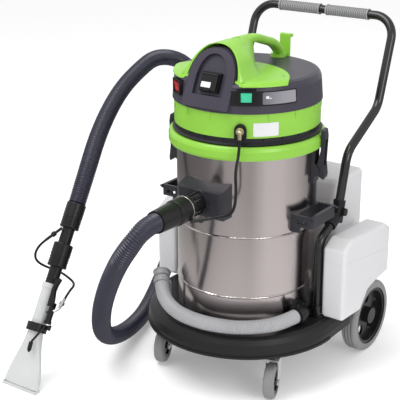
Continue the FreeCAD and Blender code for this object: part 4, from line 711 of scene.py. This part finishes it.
panel = curved_plate("switch_panel", (0.2040, 0.2012), 57.2, 0.0475, cover_low + 0.0255,
                     cover_low + 0.0565, 0.003, 0.0008)
made_of(panel, panel_grey, "head")


def print_on(name, places, body):
    """A flat print with the given outline, as thick as its film."""
    shape = bmesh.new()
    shape.faces.new([shape.verts.new(place) for place in places])
    patch = finished(name, shape)
    skin = patch.modifiers.new("film", "SOLIDIFY")
    skin.thickness = 0.0006
    skin.offset = 0
    return made_of(patch, film, body)


def drop_sign(name, degrees, height, size, radius=0.2032):
    """A small drop, the usual sign for water, on the panel beside the switch."""
    places = []
    for step in range(24):
        swing = 2 * math.pi * step / 24
        across = -math.sin(swing) * (1 + math.cos(swing)) ** 0.5 * 0.42 * size
        angle = math.radians(degrees) + across / radius
        z = height + math.cos(swing) * 0.62 * size
        places.append((radius * math.sin(angle), -radius * math.cos(angle), z))
    print_on(name, places, "head")


drop_sign("drop_sign_large", 47.5, cover_low + 0.0415, 0.0100)
drop_sign("drop_sign_small", 49.8, cover_low + 0.0385, 0.0065)


def flap_label():
    """It lies on the flap's leaning face, by the flap's lower left corner."""
    out = Vector((0, -0.9114, 0.4116))
    up = Vector((0, 0.4116, 0.9114))
    low = 0.698                        # how far up that face the label starts
    left, right, height, corner = -0.0205, 0.0090, 0.0145, 0.0016
    places = []
    for quarter, (x, rise) in enumerate(((right, height), (left, height), (left, 0), (right, 0))):
        middle_x = x + (corner if x < 0 else -corner)
        middle_rise = low + rise + (-corner if rise else corner)
        for step in range(5):
            swing = math.radians(90 * quarter + 22.5 * step)
            place = up * (middle_rise + corner * math.sin(swing)) + out * 0.5276
            place.x = middle_x + corner * math.cos(swing)
            places.append(place)
    print_on("flap_label", places, "flap")


flap_label()


# ---- Small metal fixings: a domed rivet with a hexagon socket in the suction hose's cuff, and
# the nickel spring ring round the cuff's mouth.
def domed_screw(name, place, axis, radius):
    axis = Vector(axis).normalized()
    across = axis.orthogonal().normalized()
    third = axis.cross(across)
    socket = 0.42                      # the hexagon's share of the head's radius
    profile = [(1, -0.1), (1, 0.25), (0.88, 0.48), (0.62, 0.62), (socket, 0.62), (0.40, 0.2),
               (0, 0.2)]
    shape = bmesh.new()
    rings = []
    for reach, rise in profile:
        ring = []
        for step in range(24):
            swing = 2 * math.pi * step / 24
            flat = 1.0
            if reach <= socket:
                flat = math.cos(math.pi / 6) / math.cos(swing % (math.pi / 3) - math.pi / 6)
            out = (across * math.cos(swing) + third * math.sin(swing)) * reach * flat * radius
            ring.append(shape.verts.new(Vector(place) + out + axis * rise * radius))
        rings.append(ring)
    for one, two in zip(rings, rings[1:]):
        for step in range(24):
            nxt = (step + 1) % 24
            shape.faces.new((one[step], one[nxt], two[nxt], two[step]))
    bmesh.ops.remove_doubles(shape, verts=shape.verts, dist=1e-7)
    return finished(name, shape)


cuff_low, cuff_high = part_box("hose_cuff")
cuff_mid = (cuff_low + cuff_high) / 2
cuff_r = (cuff_high.x - cuff_low.x) / 2
made_of(domed_screw("cuff_rivet", (cuff_mid.x - 0.026, -0.330, cuff_mid.z - 0.0205),
                    (-0.79, 0, -0.62), 0.0028), nickel, "chassis")
turns = [2 * math.pi * step / 64 for step in range(65)]
hoop = [Vector((cuff_r * math.sin(swing), cuff_high.y - 0.004, cuff_mid.z + cuff_r * math.cos(swing)))
        for swing in turns]
made_of(ribbed_tube("cuff_ring", hoop, [0.0009], 8), nickel, "chassis")
